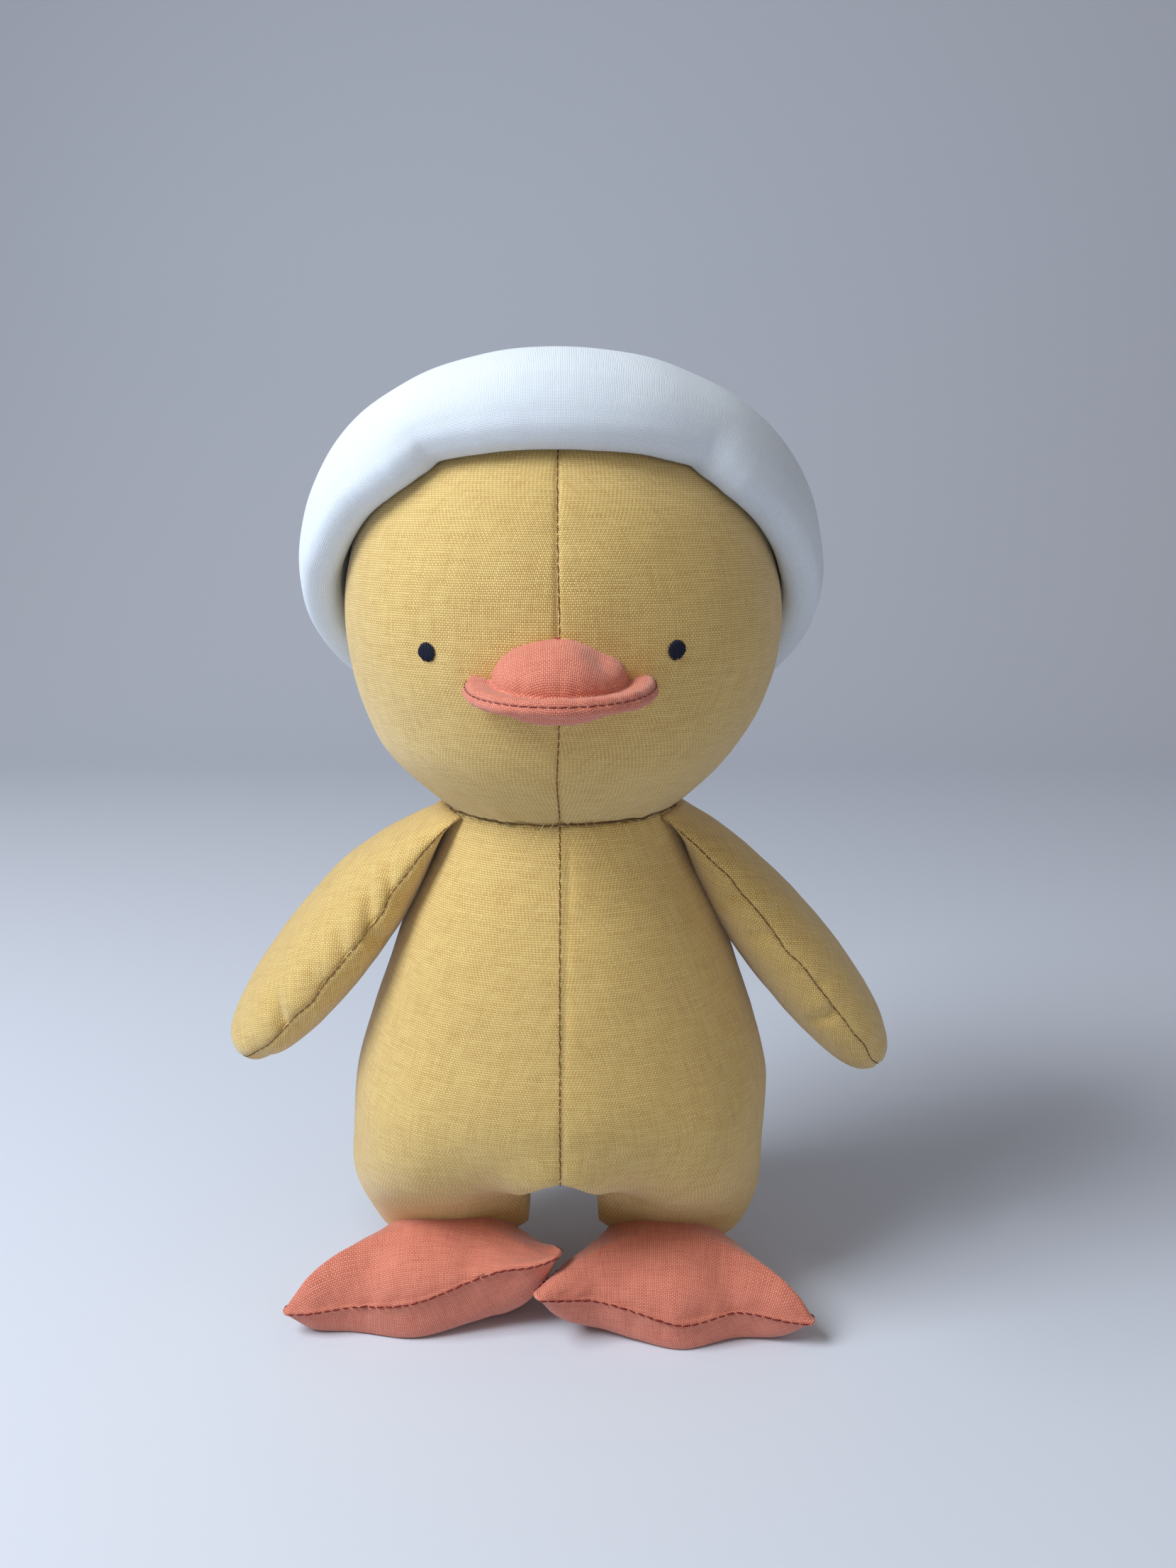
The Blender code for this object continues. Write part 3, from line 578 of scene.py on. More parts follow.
def stitching_tree():
    """Geometry Nodes that lay one stitch after another along a line of cloth."""
    tree = bpy.data.node_groups.new("stitching", "GeometryNodeTree")
    face = tree.interface
    face.new_socket("Line", in_out="INPUT", socket_type="NodeSocketGeometry")
    for name, kind, value in (("Pitch", "NodeSocketFloat", 0.0022), ("Lean", "NodeSocketFloat", 0.1),
                              ("Keep", "NodeSocketFloat", 1.0), ("Seed", "NodeSocketInt", 0),
                              ("Small", "NodeSocketFloat", 0.85), ("Large", "NodeSocketFloat", 1.12),
                              ("Stitch", "NodeSocketObject", None), ("Thread", "NodeSocketMaterial", None)):
        made = face.new_socket(name, in_out="INPUT", socket_type=kind)
        if value is not None:
            made.default_value = value
    face.new_socket("Sewn", in_out="OUTPUT", socket_type="NodeSocketGeometry")
    nodes, links = tree.nodes, tree.links
    given = nodes.new("NodeGroupInput").outputs
    result = nodes.new("NodeGroupOutput")

    def step(kind, settings=None, inputs=None):
        made = nodes.new(kind)
        for name, value in (settings or {}).items():
            setattr(made, name, value)
        for name, value in (inputs or {}).items():
            if isinstance(value, bpy.types.NodeSocket):
                links.new(value, made.inputs[name])
            else:
                made.inputs[name].default_value = value
        return made.outputs

    vector = {"data_type": "FLOAT_VECTOR"}
    curve = step("GeometryNodeMeshToCurve", None, {"Mesh": given["Line"]})
    even = step("GeometryNodeResampleCurve", {"mode": "LENGTH"},
                {"Curve": curve[0], "Length": given["Pitch"]})
    tangent = step("GeometryNodeInputTangent")
    run = step("GeometryNodeStoreNamedAttribute", {**vector, "domain": "POINT"},
               {"Geometry": even[0], "Name": "run", "Value": tangent[0]})
    marks = step("GeometryNodeCurveToPoints", {"mode": "EVALUATED"}, {"Curve": run[0]})
    run_way = step("GeometryNodeInputNamedAttribute", vector, {"Name": "run"})
    facing = step("GeometryNodeInputNamedAttribute", vector, {"Name": "facing"})
    turn = step("FunctionNodeAlignRotationToVector", {"axis": "X"}, {"Vector": run_way[0]})
    upright = step("FunctionNodeAlignRotationToVector", {"axis": "Z", "pivot_axis": "X"},
                   {"Rotation": turn[0], "Vector": facing[0]})
    lean_low = step("ShaderNodeMath", {"operation": "MULTIPLY"}, {0: given["Lean"], 1: -1})
    chance = step("FunctionNodeRandomValue", {"data_type": "FLOAT"},
                  {2: lean_low[0], 3: given["Lean"], "Seed": given["Seed"]})
    lean = step("ShaderNodeCombineXYZ", None, {2: chance[1]})
    lean_turn = step("FunctionNodeEulerToRotation", None, {0: lean[0]})
    leaning = step("FunctionNodeRotateRotation", {"rotation_space": "LOCAL"},
                   {0: upright[0], 1: lean_turn[0]})
    size = step("FunctionNodeRandomValue", {"data_type": "FLOAT"},
                {2: given["Small"], 3: given["Large"], "Seed": given["Seed"]})
    kept = step("FunctionNodeRandomValue", {"data_type": "BOOLEAN"},
                {"Probability": given["Keep"], "Seed": given["Seed"]})
    stitch = step("GeometryNodeObjectInfo", {"transform_space": "ORIGINAL"}, {"Object": given["Stitch"]})
    laid = step("GeometryNodeInstanceOnPoints", None,
                {"Points": marks[0], "Selection": kept[3], "Instance": stitch["Geometry"],
                 "Rotation": leaning[0], "Scale": size[1]})
    real = step("GeometryNodeRealizeInstances", None, {"Geometry": laid[0]})
    sewn = step("GeometryNodeSetMaterial", None, {"Geometry": real[0], "Material": given["Thread"]})
    links.new(sewn[0], result.inputs[0])
    return tree


stitching = stitching_tree()
seam_stitch = capsule("seam_stitch", 0.0024, 0.00028, 0.00012)
foot_stitch = capsule("foot_stitch", 0.0021, 0.00042, 0.00022)
hand_stitch = capsule("hand_stitch", 0.0026, 0.00028, 0.0005)
frayed_end = capsule("frayed_end", 0.0024, 0.00013, -0.0007)


def sewn_line(name, lines, thread, stitch, pitch, seed, lift=0.0, lean=0.1, keep=1.0, sizes=(0.85, 1.12)):
    """Stitches along lines of (point, facing), as one plain mesh."""
    corners, ways, edges = [], [], []
    for line in lines:
        start = len(corners)
        for point, way in line:
            way = Vector(way).normalized()
            corners.append(Vector(point) + way * lift)
            ways.append(way)
        edges += [(place, place + 1) for place in range(start, len(corners) - 1)]
    mesh = bpy.data.meshes.new(name)
    mesh.from_pydata(corners, edges, [])
    attribute = mesh.attributes.new("facing", "FLOAT_VECTOR", "POINT")
    attribute.data.foreach_set("vector", np.array(ways, np.float32).ravel())
    made = placed(name + "_line", mesh)
    sewing = made.modifiers.new("sewing", "NODES")
    sewing.node_group = stitching
    names = {item.name: item.identifier for item in stitching.interface.items_tree
             if item.in_out == "INPUT"}
    for key, value in (("Pitch", pitch), ("Lean", lean), ("Keep", keep), ("Seed", seed),
                       ("Small", sizes[0]), ("Large", sizes[1]), ("Stitch", stitch), ("Thread", thread)):
        sewing[names[key]] = value
    return finished_copy(made, name)


def skin_tree(made):
    """A made piece's surface, to find points on."""
    return BVHTree.FromPolygons([v.co.copy() for v in made.data.vertices],
                                [tuple(p.vertices) for p in made.data.polygons])


seam_top, seam_low, seam_steps = 0.1318, 0.0365, 120
body_tree = skin_tree(body)
body_seam = []
for back in (1, -1):
    line = []
    for step in range(seam_steps):
        height = seam_top - (seam_top - seam_low) * step / (seam_steps - 1)
        spot, way, _, _ = body_tree.ray_cast(Vector((0, -0.2 * back, height)), Vector((0, back, 0)))
        if spot is not None and abs(spot.y) > 0.020:
            line.append((spot, way))
    body_seam.append(line)
body_stitches = sewn_line("body_seam_stitches", body_seam, brown_thread, seam_stitch, 0.0022, 3,
                          lift=0.0001, lean=0.12)
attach(body_stitches, "body")


# Head: two panels of yellow cotton with one seam down the face and the back, stuffed hard and nearly round.
# Its open rim gathers a little where it meets the body.
neck_rim, head_top = 0.1322, 0.2351
head_knots = [
    (neck_rim, 0.0295, 0.0293, 0.0000),
    (0.1364, 0.0347, 0.0335, 0.0004),
    (0.1415, 0.0403, 0.0384, 0.0009),
    (0.1485, 0.0459, 0.0436, 0.0014),
    (0.1576, 0.0506, 0.0475, 0.0020),
    (0.1680, 0.0537, 0.0499, 0.0020),
    (0.1800, 0.0549, 0.0505, 0.0020),
    (0.1931, 0.0532, 0.0495, 0.0020),
    (0.2061, 0.0489, 0.0456, 0.0020),
    (0.2171, 0.0415, 0.0388, 0.0020),
    (0.2261, 0.0315, 0.0295, 0.0020),
    (0.2321, 0.0191, 0.0180, 0.0020),
    (head_top, 0.0000, 0.0000, 0.0020),
]
head_line = smooth_line(head_knots, 190, after=(0.2321, -0.0191, -0.0180, 0.0020))
head_turns = seam_turns(190)
head_points = oval_rings(head_line[:-1], head_turns)
# The face was filled a little to one side and the neck to the other.
head_points[:, :, 0] += 0.0006 * near(head_points[:, :, 2], 0.175, 0.020)
head_points[:, :, 0] -= 0.0005 * near(head_points[:, :, 2], 0.144, 0.008)
head_facing = grid_normals(head_points)
seam_away = np.abs(head_points[:, :, 0])
seam_along = head_points[:, :, 2] + 0.3 * (head_points[:, :, 1] > 0)
pull = seam_pull(seam_away, seam_along, 0.00045, 0.0007, 0.00018, 0.011, 7)
head_points = head_points - head_facing * pull[:, :, None]
rim_away = head_points[:, :, 2] - neck_rim
rim_along = head_turns[None, :] * 0.030 + 0 * rim_away
rim_pull = 0.00025 * ripple(rim_along, 0.0095, 9) * near(rim_away, 0, 0.009)
head_points = head_points - head_facing * rim_pull[:, :, None]
head_points = crumpled(head_points, head_facing, 0.00025, 0.019, 5)
head_cuts = [panel_cut(head_points, half) for half in (0, 1)]
head = sewn_shell("head_cloth", head_points, head_cuts, yellow_cotton, None, (0, 0.002, head_top))
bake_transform(head)
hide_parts("head_panel_left", "head_panel_right", "head_stuffing")

head_facing = grid_normals(head_points)
half_way = head_points.shape[1] // 2
head_seam = [[(head_points[row, column], head_facing[row, column]) for row in range(3, 180)]
             for column in (0, half_way)]
head_stitches = sewn_line("head_seam_stitches", head_seam, brown_thread, seam_stitch, 0.0022, 5,
                          lift=0.0001, lean=0.12)
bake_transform(head_stitches)


# Neck: a firm plug of stuffing under the same cloth, inside the two rims. The rims are sewn to each other
# by hand, with short brown stitches and some pale thread ends.
neck_line = smooth_line([(0.1225, 0.0270, 0.0270, 0), (0.1275, 0.0276, 0.0276, 0),
                         (0.1313, 0.0276, 0.0276, 0), (0.1350, 0.0280, 0.0280, 0),
                         (0.1400, 0.0230, 0.0230, 0), (0.1440, 0.0130, 0.0130, 0)], 26)
neck_turns = seam_turns(60, 0)
neck_points = oval_rings(neck_line, neck_turns)
neck_cuts = [panel_cut(neck_points, half) for half in (0, 1)]
neck = sewn_shell("neck_cloth", neck_points, neck_cuts, yellow_cotton, (0, 0, 0.1215), (0, 0, 0.1450))
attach(neck, "neck")
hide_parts("neck_stuffing")

ring_radius, ring_height, ring_steps = 0.0294, 0.1320, 180
neck_ring = []
for step in range(ring_steps + 1):
    turn = 2 * math.pi * step / ring_steps
    out = Vector((math.sin(turn), -math.cos(turn), 0))
    height = ring_height + 0.0003 * math.sin(turn * 7) + 0.00015 * math.sin(turn * 17)
    neck_ring.append((out * ring_radius + Vector((0, 0, height)), out + Vector((0, 0, -0.25))))
neck_stitches = sewn_line("neck_hand_stitches", [neck_ring], brown_thread, hand_stitch, 0.0033, 12,
                          lift=0.0003, lean=0.35, sizes=(0.8, 1.2))
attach(neck_stitches, "body")
neck_ends = sewn_line("neck_pale_ends", [neck_ring], pale_thread, frayed_end, 0.0021, 31,
                      lift=0.0006, lean=1.2, keep=0.6, sizes=(0.6, 1.3))
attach(neck_ends, "body")


# Bill: a domed upper panel and a flatter lower one of coral cotton, joined in a soft rolled rim and filled
# lightly. Dark red stitches run just under the rim, where pale threads of the cut edge show.
# The coral's second colour is painted shade for the gaps between its threads.
coral_cotton = woven("coral_cotton", (0.88, 0.33, 0.220), (0.38, 0.050, 0.034), sheen=0.35)


def carried(points, place):
    """A grid of points, moved from a piece's own axes to the duck's."""
    return np.array([place @ Vector(p) for p in points.reshape(-1, 3)]).reshape(points.shape)


bill_middle = Vector((0, -0.0465, 0.1683))
bill_place = Matrix.Translation(bill_middle) @ Matrix.Rotation(math.radians(10), 4, "X")
bill_section = [
    (0.00, -0.0073),
    (0.34, -0.0072),
    (0.52, -0.0064),
    (0.63, -0.0046),
    (0.70, -0.0027),
    (0.77, -0.0017),
    (0.87, -0.0019),
    (0.95, -0.0019),
    (0.990, -0.0013),
    (1.010, -0.0006),
    (1.012, 0.0002),
    (0.996, 0.0009),
    (0.975, 0.0014),
    (0.945, 0.0019),
    (0.89, 0.0020),
    (0.80, 0.0015),
    (0.72, 0.0011),
    (0.700, 0.0021),
    (0.665, 0.0038),
    (0.58, 0.0059),
    (0.45, 0.0077),
    (0.28, 0.0090),
    (0.13, 0.0096),
    (0.00, 0.0098),
]
bill_half_width, bill_reach, bill_columns = 0.0208, 0.0210, 160
bill_line = smooth_line([(reach * bill_half_width, height) for reach, height in bill_section], 120,
                        before=(-0.34 * bill_half_width, -0.0072),
                        after=(-0.13 * bill_half_width, 0.0104))
bill_turns = np.linspace(0, 2 * math.pi, bill_columns, endpoint=False)
bill_rows = bill_line[1:-1]
reach = bill_rows[:, 0][:, None] / bill_half_width
bill_x = bill_half_width * reach * np.sin(bill_turns) * (1 + 0.06 * np.clip(np.sin(bill_turns), 0, 1))
bill_y = -bill_reach * reach * np.cos(bill_turns)
bill_z = bill_rows[:, 1][:, None] + 0 * bill_x
rim_height = -0.0013 * (np.abs(np.sin(bill_turns)) ** 2.5)[None, :] * reach ** 3
# The upper panel has one small dent, on the left.
dent = 0.0017 * near(bill_x, 0.0098, 0.0034) * near(bill_y, -0.004, 0.0055)
bill_z = bill_z + rim_height - dent * (bill_z > 0.002)
bill_points = np.stack([bill_x, bill_y, bill_z], axis=2)
bill_facing = grid_normals(bill_points)
bill_along = bill_turns[None, :] * 0.020 + 0 * bill_x
seam_row = int(np.argmin(np.abs(bill_rows[:, 1] - 0.0009) + (reach[:, 0] < 0.96)))
crease_row = int(np.argmin(np.abs(reach[:, 0] - 0.72) + (bill_rows[:, 1] < 0.0005)))
row_step = np.linalg.norm(np.diff(bill_rows, axis=0), axis=1).mean()
rows = np.arange(len(bill_rows))[:, None]
# The seam, and the crease where the filling ends above the rim.
for middle_row, depth, gather, seed in ((seam_row, 0.0002, 0.00022, 21), (crease_row, 0.0003, 0.0002, 22)):
    pull = seam_pull(np.abs(rows - middle_row) * row_step + 0 * bill_x, bill_along, depth, 0.0007,
                     gather, 0.006, seed)
    bill_points = bill_points - bill_facing * pull[:, :, None]
bill_points = crumpled(bill_points, bill_facing, 0.0002, 0.008, 8)
run = rows * row_step
from_middle = np.where(rows <= seam_row, run, run[-1] - run)
flat = np.stack([from_middle * np.sin(bill_turns),
                 0.5 * (rows > seam_row) - from_middle * np.cos(bill_turns)], axis=2)
flat = np.concatenate([flat, flat[:, :1]], axis=1)
bill_cuts = [flat[:, :bill_columns // 2 + 1], flat[:, bill_columns // 2:]]
bill_world = carried(bill_points, bill_place)
bill = sewn_shell("bill_cloth", bill_world, bill_cuts, coral_cotton,
                  bill_place @ Vector((0, 0, -0.0070)), bill_place @ Vector((0, 0, 0.0105)))
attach(bill, "head")
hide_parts("bill_upper", "bill_lower", "bill_stuffing")
bill_facing = grid_normals(bill_world)
front_columns = range(-50, 51)
bill_seam = [[(bill_world[seam_row, column], bill_facing[seam_row, column]) for column in front_columns]]
bill_stitches = sewn_line("bill_seam_stitches", bill_seam, red_thread, seam_stitch, 0.0021, 14,
                          lift=0.00012, lean=0.15, sizes=(0.7, 0.9))
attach(bill_stitches, "head")


# Eyes: satin stitch in navy thread, worked up and down through the cloth, over a few padding stitches.
# The threads end unevenly at the lower edge.
navy_thread = spun("navy_thread", (0.016, 0.022, 0.055), (0.002, 0.003, 0.009))
head_tree = skin_tree(head)


def face_spot(x, z):
    """The face's cloth at a place seen from the front, and the way it faces."""
    spot, way, _, _ = head_tree.ray_cast(Vector((x, -0.2, z)), Vector((0, 1, 0)))
    return spot, way


eye_out, eye_shift, eye_height = 0.0279, 0.0015, 0.1747
eye_half_width, eye_half_height, eye_strands = 0.00195, 0.00230, 17
strand_radius, strand_rings, strand_segments = eye_half_width / eye_strands * 1.25, 9, 6
for side, name in SIDES.items():
    draw = random.Random(40 + side)
    corners, faces = [], []
    middle_x, middle_z = side * eye_out - eye_shift, eye_height + 0.0004 * side
    for spread, lift in ((0.86, 0.00012), (1.0, 0.00034)):
        for strand in range(eye_strands):
            across = (strand + 0.5) / eye_strands * 2 - 1
            chord = math.sqrt(max(0.04, 1 - across ** 2)) * spread
            dome = math.sqrt(max(0, 1 - across ** 2))
            top = eye_half_height * chord * draw.uniform(0.93, 1.02)
            bottom = -eye_half_height * chord * draw.uniform(0.90, 1.14)
            tilt = draw.uniform(-0.05, 0.05) + 0.06 * side
            faces += tube_faces(len(corners), strand_rings, strand_segments)
            for ring in range(strand_rings):
                share = ring / (strand_rings - 1)
                height = bottom + (top - bottom) * share
                x = middle_x + across * eye_half_width * spread + tilt * height
                x += 0.00003 * math.sin(height * 5000 + strand)
                spot, way = face_spot(x, middle_z + height)
                bow = math.sqrt(max(0, 1 - (2 * share - 1) ** 4))
                core = spot + way * ((lift + 0.00042 * dome) * bow - 0.00012)
                side_way = Vector((0, 0, 1)).cross(way).normalized()
                for segment in range(strand_segments):
                    angle = 2 * math.pi * segment / strand_segments
                    corners.append(core + side_way * strand_radius * math.cos(angle)
                                   + way * strand_radius * 0.8 * math.sin(angle))
    mesh = bpy.data.meshes.new(f"eye_threads_{name}")
    mesh.from_pydata(corners, [], faces)
    faced_out(mesh)
    mesh.materials.append(navy_thread)
    mesh.shade_smooth()
    eye = placed(f"eye_threads_{name}", mesh)
    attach(eye, "head")
    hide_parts(f"eye_{name}")


# Wings: a leaf of two yellow panels, sewn round the edge, turned and stuffed. The flat open end is sewn into
# the neck's seam. The seam gathers one panel of each wing in a few soft dents.
wing_half_width, wing_half_columns = 0.022, 90
wing_root_x, wing_root_z, wing_root_in = 0.033415, 0.1285, 0.0040
shoulder_round = 0.0295
wing_knots = [
    (0.000, 0.22, 0.780),
    (0.059, 0.42, 0.790),
    (0.141, 0.64, 0.830),
    (0.282, 0.87, 0.920),
    (0.446, 0.985, 1.000),
    (0.610, 1.000, 0.980),
    (0.751, 0.935, 0.880),
    (0.869, 0.775, 0.720),
    (0.951, 0.540, 0.500),
    (1.000, 0.000, 0.000),
]
wing_makes = {
    LEFT: {"length": 0.0852, "fall": 52.6, "twist": -3.5, "thick": 0.0113,
           "inward": [0.0010, 0.0016, 0.0017, 0.0012, 0.0010, 0.0010, 0.0014],
           "dents": [(0.22, -1, 0.0016, 0.0018, 0.2), (0.38, -1, 0.0012, 0.0020, -0.2),
                     (0.58, 1, 0.0005, 0.0022, 0.3), (0.69, -1, 0.0014, 0.0020, 0.1),
                     (0.33, 1, 0.0006, 0.0020, 0.3), (0.88, 1, 0.0004, 0.0020, 0.2)]},
    RIGHT: {"length": 0.0840, "fall": 50.6, "twist": 13.0, "thick": 0.0110,
            "inward": [0.0010, 0.0008, 0.0003, 0.0002, 0.0003, 0.0003, -0.0004],
            "dents": [(0.21, 1, 0.0015, 0.0022, -0.5), (0.33, 1, 0.0019, 0.0024, -0.8),
                      (0.45, 1, 0.0014, 0.0022, -0.5), (0.57, 1, 0.0010, 0.0020, -0.3),
                      (0.76, 1, 0.0017, 0.0020, -0.6), (0.36, -1, 0.0010, 0.0018, 0.0),
                      (0.92, -1, 0.0008, 0.0018, 0.0)]},
}
wing_turns = seam_turns(wing_half_columns)
for side, name in SIDES.items():
    make = wing_makes[side]
    wing_length = make["length"]
    fall, twist = math.radians(make["fall"]), math.radians(make["twist"])
    root_row = (-wing_root_in, 0.10 * make["thick"], 0.77 * wing_half_width)
    leaf_rows = [(a * wing_length, t * make["thick"], w * wing_half_width) for a, t, w in wing_knots]
    line = smooth_line([root_row] + leaf_rows, 110,
                       after=(0.951 * wing_length, -0.54 * make["thick"], -0.5 * wing_half_width))
    along, thick, width = (column[:, None] for column in line[:-1].T)
    share = along / wing_length
    outward = thick * np.sin(wing_turns)
    shape = np.stack([outward, -width * np.cos(wing_turns), along + 0 * outward], axis=2)
    facing = grid_normals(shape)
    length = along + 0 * outward
    # The seam, and the dents that it gathers into one panel or the other.
    to_front = np.linalg.norm(shape - shape[:, :1], axis=2)
    to_back = np.linalg.norm(shape - shape[:, wing_half_columns:wing_half_columns + 1], axis=2)
    edge = np.minimum(to_front, to_back)
    panel = np.sign(np.sin(wing_turns))[None, :] + 0 * outward
    run = length + 0.3 * (to_back < to_front)
    pull = seam_pull(edge, run, 0.00032, 0.0008, 0.00022, 0.0105, 50 + side)
    for place, on_panel, depth, reach, tilt in make["dents"]:
        for to_edge, strength, shift in ((to_front, 1, 0), (to_back, 0.8, 0.006)):
            beside = near(length - place * wing_length - shift - tilt * to_edge, 0, reach)
            fade = near(to_edge, 0.0030, 0.0050) * (panel == on_panel)
            pull = pull + strength * depth * beside * fade
    shape = shape - facing * pull[:, :, None]
    sway = 0.00035 * ripple(length, 0.0140, 77 + side) * near(edge, 0, 0.005)
    shape[:, :, 0] += sway * np.clip(share * 5, 0, 1)
    shape = crumpled(shape, facing, 0.00022, 0.012, 12 + side)
    # The leaf twists along its length, bends in towards the body and hugs the shoulder at its root.
    turned = twist * np.clip(shape[:, :, 2] / (0.282 * wing_length), 0, 1)
    x = shape[:, :, 0] * np.cos(turned) + shape[:, :, 1] * np.sin(turned)
    y = shape[:, :, 1] * np.cos(turned) - shape[:, :, 0] * np.sin(turned)
    z = shape[:, :, 2]
    x = x - np.interp(z / wing_length, [0, 0.15, 0.3, 0.5, 0.7, 0.85, 1], make["inward"])
    hug = shoulder_round - np.sqrt(np.maximum(shoulder_round ** 2 - np.minimum(np.abs(y), 0.026) ** 2, 0))
    hug = hug * np.clip(1 - (z + wing_root_in) / 0.020, 0, 1) ** 1.5
    points = np.stack([side * (x * math.sin(fall) + z * math.cos(fall) + wing_root_x - hug), y,
                       x * math.cos(fall) - z * math.sin(fall) + wing_root_z], axis=2)
    if side == LEFT:
        points = np.roll(points[:, ::-1], 1, axis=1)
    cuts = []
    for half in (0, 1):
        cut = panel_cut(points, half)
        cuts.append(np.stack([cut[:, :, 0] * 0.71 - cut[:, :, 1] * 0.71 + 0.05 * side,
                              cut[:, :, 0] * 0.71 + cut[:, :, 1] * 0.71], axis=2))
    drop = -make["inward"][-1]
    ends = [points[0].mean(axis=0),
            (side * (drop * math.sin(fall) + wing_length * math.cos(fall) + wing_root_x), 0,
             drop * math.cos(fall) - wing_length * math.sin(fall) + wing_root_z)]
    wing = sewn_shell(f"wing_cloth_{name}", points, cuts, yellow_cotton, *ends)
    faced_out(wing.data)
    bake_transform(wing)
    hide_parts(f"wing_outer_{name}", f"wing_inner_{name}", f"wing_stuffing_{name}")
    normals = [v.normal for v in wing.data.vertices]
    seam = [[(points[row, column], normals[row * 2 * wing_half_columns + column])
             for row in range(2, len(points) - 1)] for column in (0, wing_half_columns)]
    wing_stitches = sewn_line(f"wing_seam_stitches_{name}", seam, brown_thread, seam_stitch, 0.0022,
                              60 + side, lift=0.0001, lean=0.10)
    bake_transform(wing_stitches)
    wing_ends = sewn_line(f"wing_pale_ends_{name}", seam, pale_thread, frayed_end, 0.0031, 70 + side,
                          lift=0.0002, lean=1.3, keep=0.22, sizes=(0.4, 0.9))
    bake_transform(wing_ends)


# Feet: a coral top and a coral sole, sewn round a three-pointed web that narrows to the heel, turned and
# stuffed. The two were filled unevenly, so the right foot's inner point stands up behind the left one's.
foot_edges = {
    LEFT: [(0.0630, -0.0392, 0.0068), (0.0585, -0.0394, 0.0073), (0.0440, -0.0376, 0.0092),
           (0.0297, -0.0408, 0.0080), (0.0180, -0.0382, 0.0102), (0.0086, -0.0368, 0.0120),
           (-0.0010, -0.0402, 0.0138), (-0.0045, -0.0416, 0.0148), (-0.0062, -0.0406, 0.0150),
           (-0.0050, -0.0370, 0.0148), (-0.0010, -0.0290, 0.0140), (0.0045, -0.0200, 0.0128),
           (0.0100, -0.0100, 0.0115), (0.0140, 0.0000, 0.0105), (0.0170, 0.0120, 0.0100),
           (0.0225, 0.0215, 0.0100), (0.0300, 0.0250, 0.0100), (0.0360, 0.0210, 0.0100),
           (0.0395, 0.0100, 0.0100), (0.0415, -0.0020, 0.0100), (0.0450, -0.0115, 0.0095),
           (0.0515, -0.0222, 0.0088), (0.0582, -0.0315, 0.0078), (0.0622, -0.0366, 0.0070)],
    RIGHT: [(-0.0703, -0.0344, 0.0065), (-0.0660, -0.0352, 0.0070), (-0.0533, -0.0342, 0.0085),
            (-0.0370, -0.0370, 0.0115), (-0.0235, -0.0350, 0.0160), (-0.0164, -0.0342, 0.0183),
            (-0.0057, -0.0346, 0.0203), (-0.0020, -0.0344, 0.0216), (-0.0005, -0.0330, 0.0220),
            (-0.0016, -0.0285, 0.0208), (-0.0055, -0.0195, 0.0165), (-0.0105, -0.0110, 0.0138),
            (-0.0155, 0.0000, 0.0120), (-0.0205, 0.0120, 0.0105), (-0.0245, 0.0215, 0.0100),
            (-0.0315, 0.0255, 0.0100), (-0.0385, 0.0215, 0.0100), (-0.0420, 0.0120, 0.0100),
            (-0.0450, 0.0000, 0.0100), (-0.0505, -0.0110, 0.0095), (-0.0580, -0.0195, 0.0085),
            (-0.0655, -0.0285, 0.0073)],
}
foot_makes = {LEFT: ((0.0290, -0.0160), 0.0226, 0.0118), RIGHT: ((-0.0300, -0.0150), 0.0236, 0.0132)}
inner_tip = 8
top_rise, sole_rise = 0.0190, 0.0056
top_taper, sole_taper = 0.0040, 0.0078
heel_seam, floor_gap = 0.0102, 0.0001
foot_dents = {LEFT: [(0.0440, -0.0376, 0.0016), (0.0130, -0.0375, 0.0012)],
              RIGHT: [(-0.0520, -0.0342, 0.0014), (-0.0200, -0.0345, 0.0013)]}
foot_columns, foot_rows = 260, 76


def swell(inward, rise, from_tip, taper):
    """How full a foot is, from 0 at its seam to 1 inside it. It stays thin near its pointed tips."""
    return np.sqrt(1 - (1 - np.clip(inward / rise, 0, 1)) ** 2) * (1 - np.exp(-from_tip / taper))


def laid_flat(made, seam_start, seam_end, slant):
    """Cut a piece open along its seam's corners and lay it flat, as its UV map in metres of cloth."""
    shape = bmesh.new()
    shape.from_mesh(made.data)
    bmesh.ops.recalc_face_normals(shape, faces=shape.faces)
    for edge in shape.edges:
        edge.seam = all(seam_start <= vert.index < seam_end for vert in edge.verts)
    real = sum(face.calc_area() for face in shape.faces)
    shape.to_mesh(made.data)
    shape.free()
    bpy.context.view_layer.objects.active = made
    made.select_set(True)
    bpy.ops.object.mode_set(mode="EDIT")
    bpy.ops.mesh.select_all(action="SELECT")
    bpy.ops.uv.unwrap(method="CONFORMAL", margin=0.01)
    bpy.ops.object.mode_set(mode="OBJECT")
    made.select_set(False)
    layer = made.data.uv_layers["cut"]
    spots = np.zeros(len(layer.data) * 2, np.float32)
    layer.data.foreach_get("uv", spots)
    spots = spots.reshape(-1, 2).astype(float)
    flat = 0
    for face in made.data.polygons:
        loop = spots[face.loop_start:face.loop_start + face.loop_total]
        ahead = np.roll(loop, -1, axis=0)
        flat += abs((loop[:, 0] * ahead[:, 1] - loop[:, 1] * ahead[:, 0]).sum()) / 2
    turned = np.array([[math.cos(slant), math.sin(slant)], [-math.sin(slant), math.cos(slant)]])
    spots = (spots * math.sqrt(real / flat)) @ turned
    layer.data.foreach_set("uv", spots.astype(np.float32).ravel())


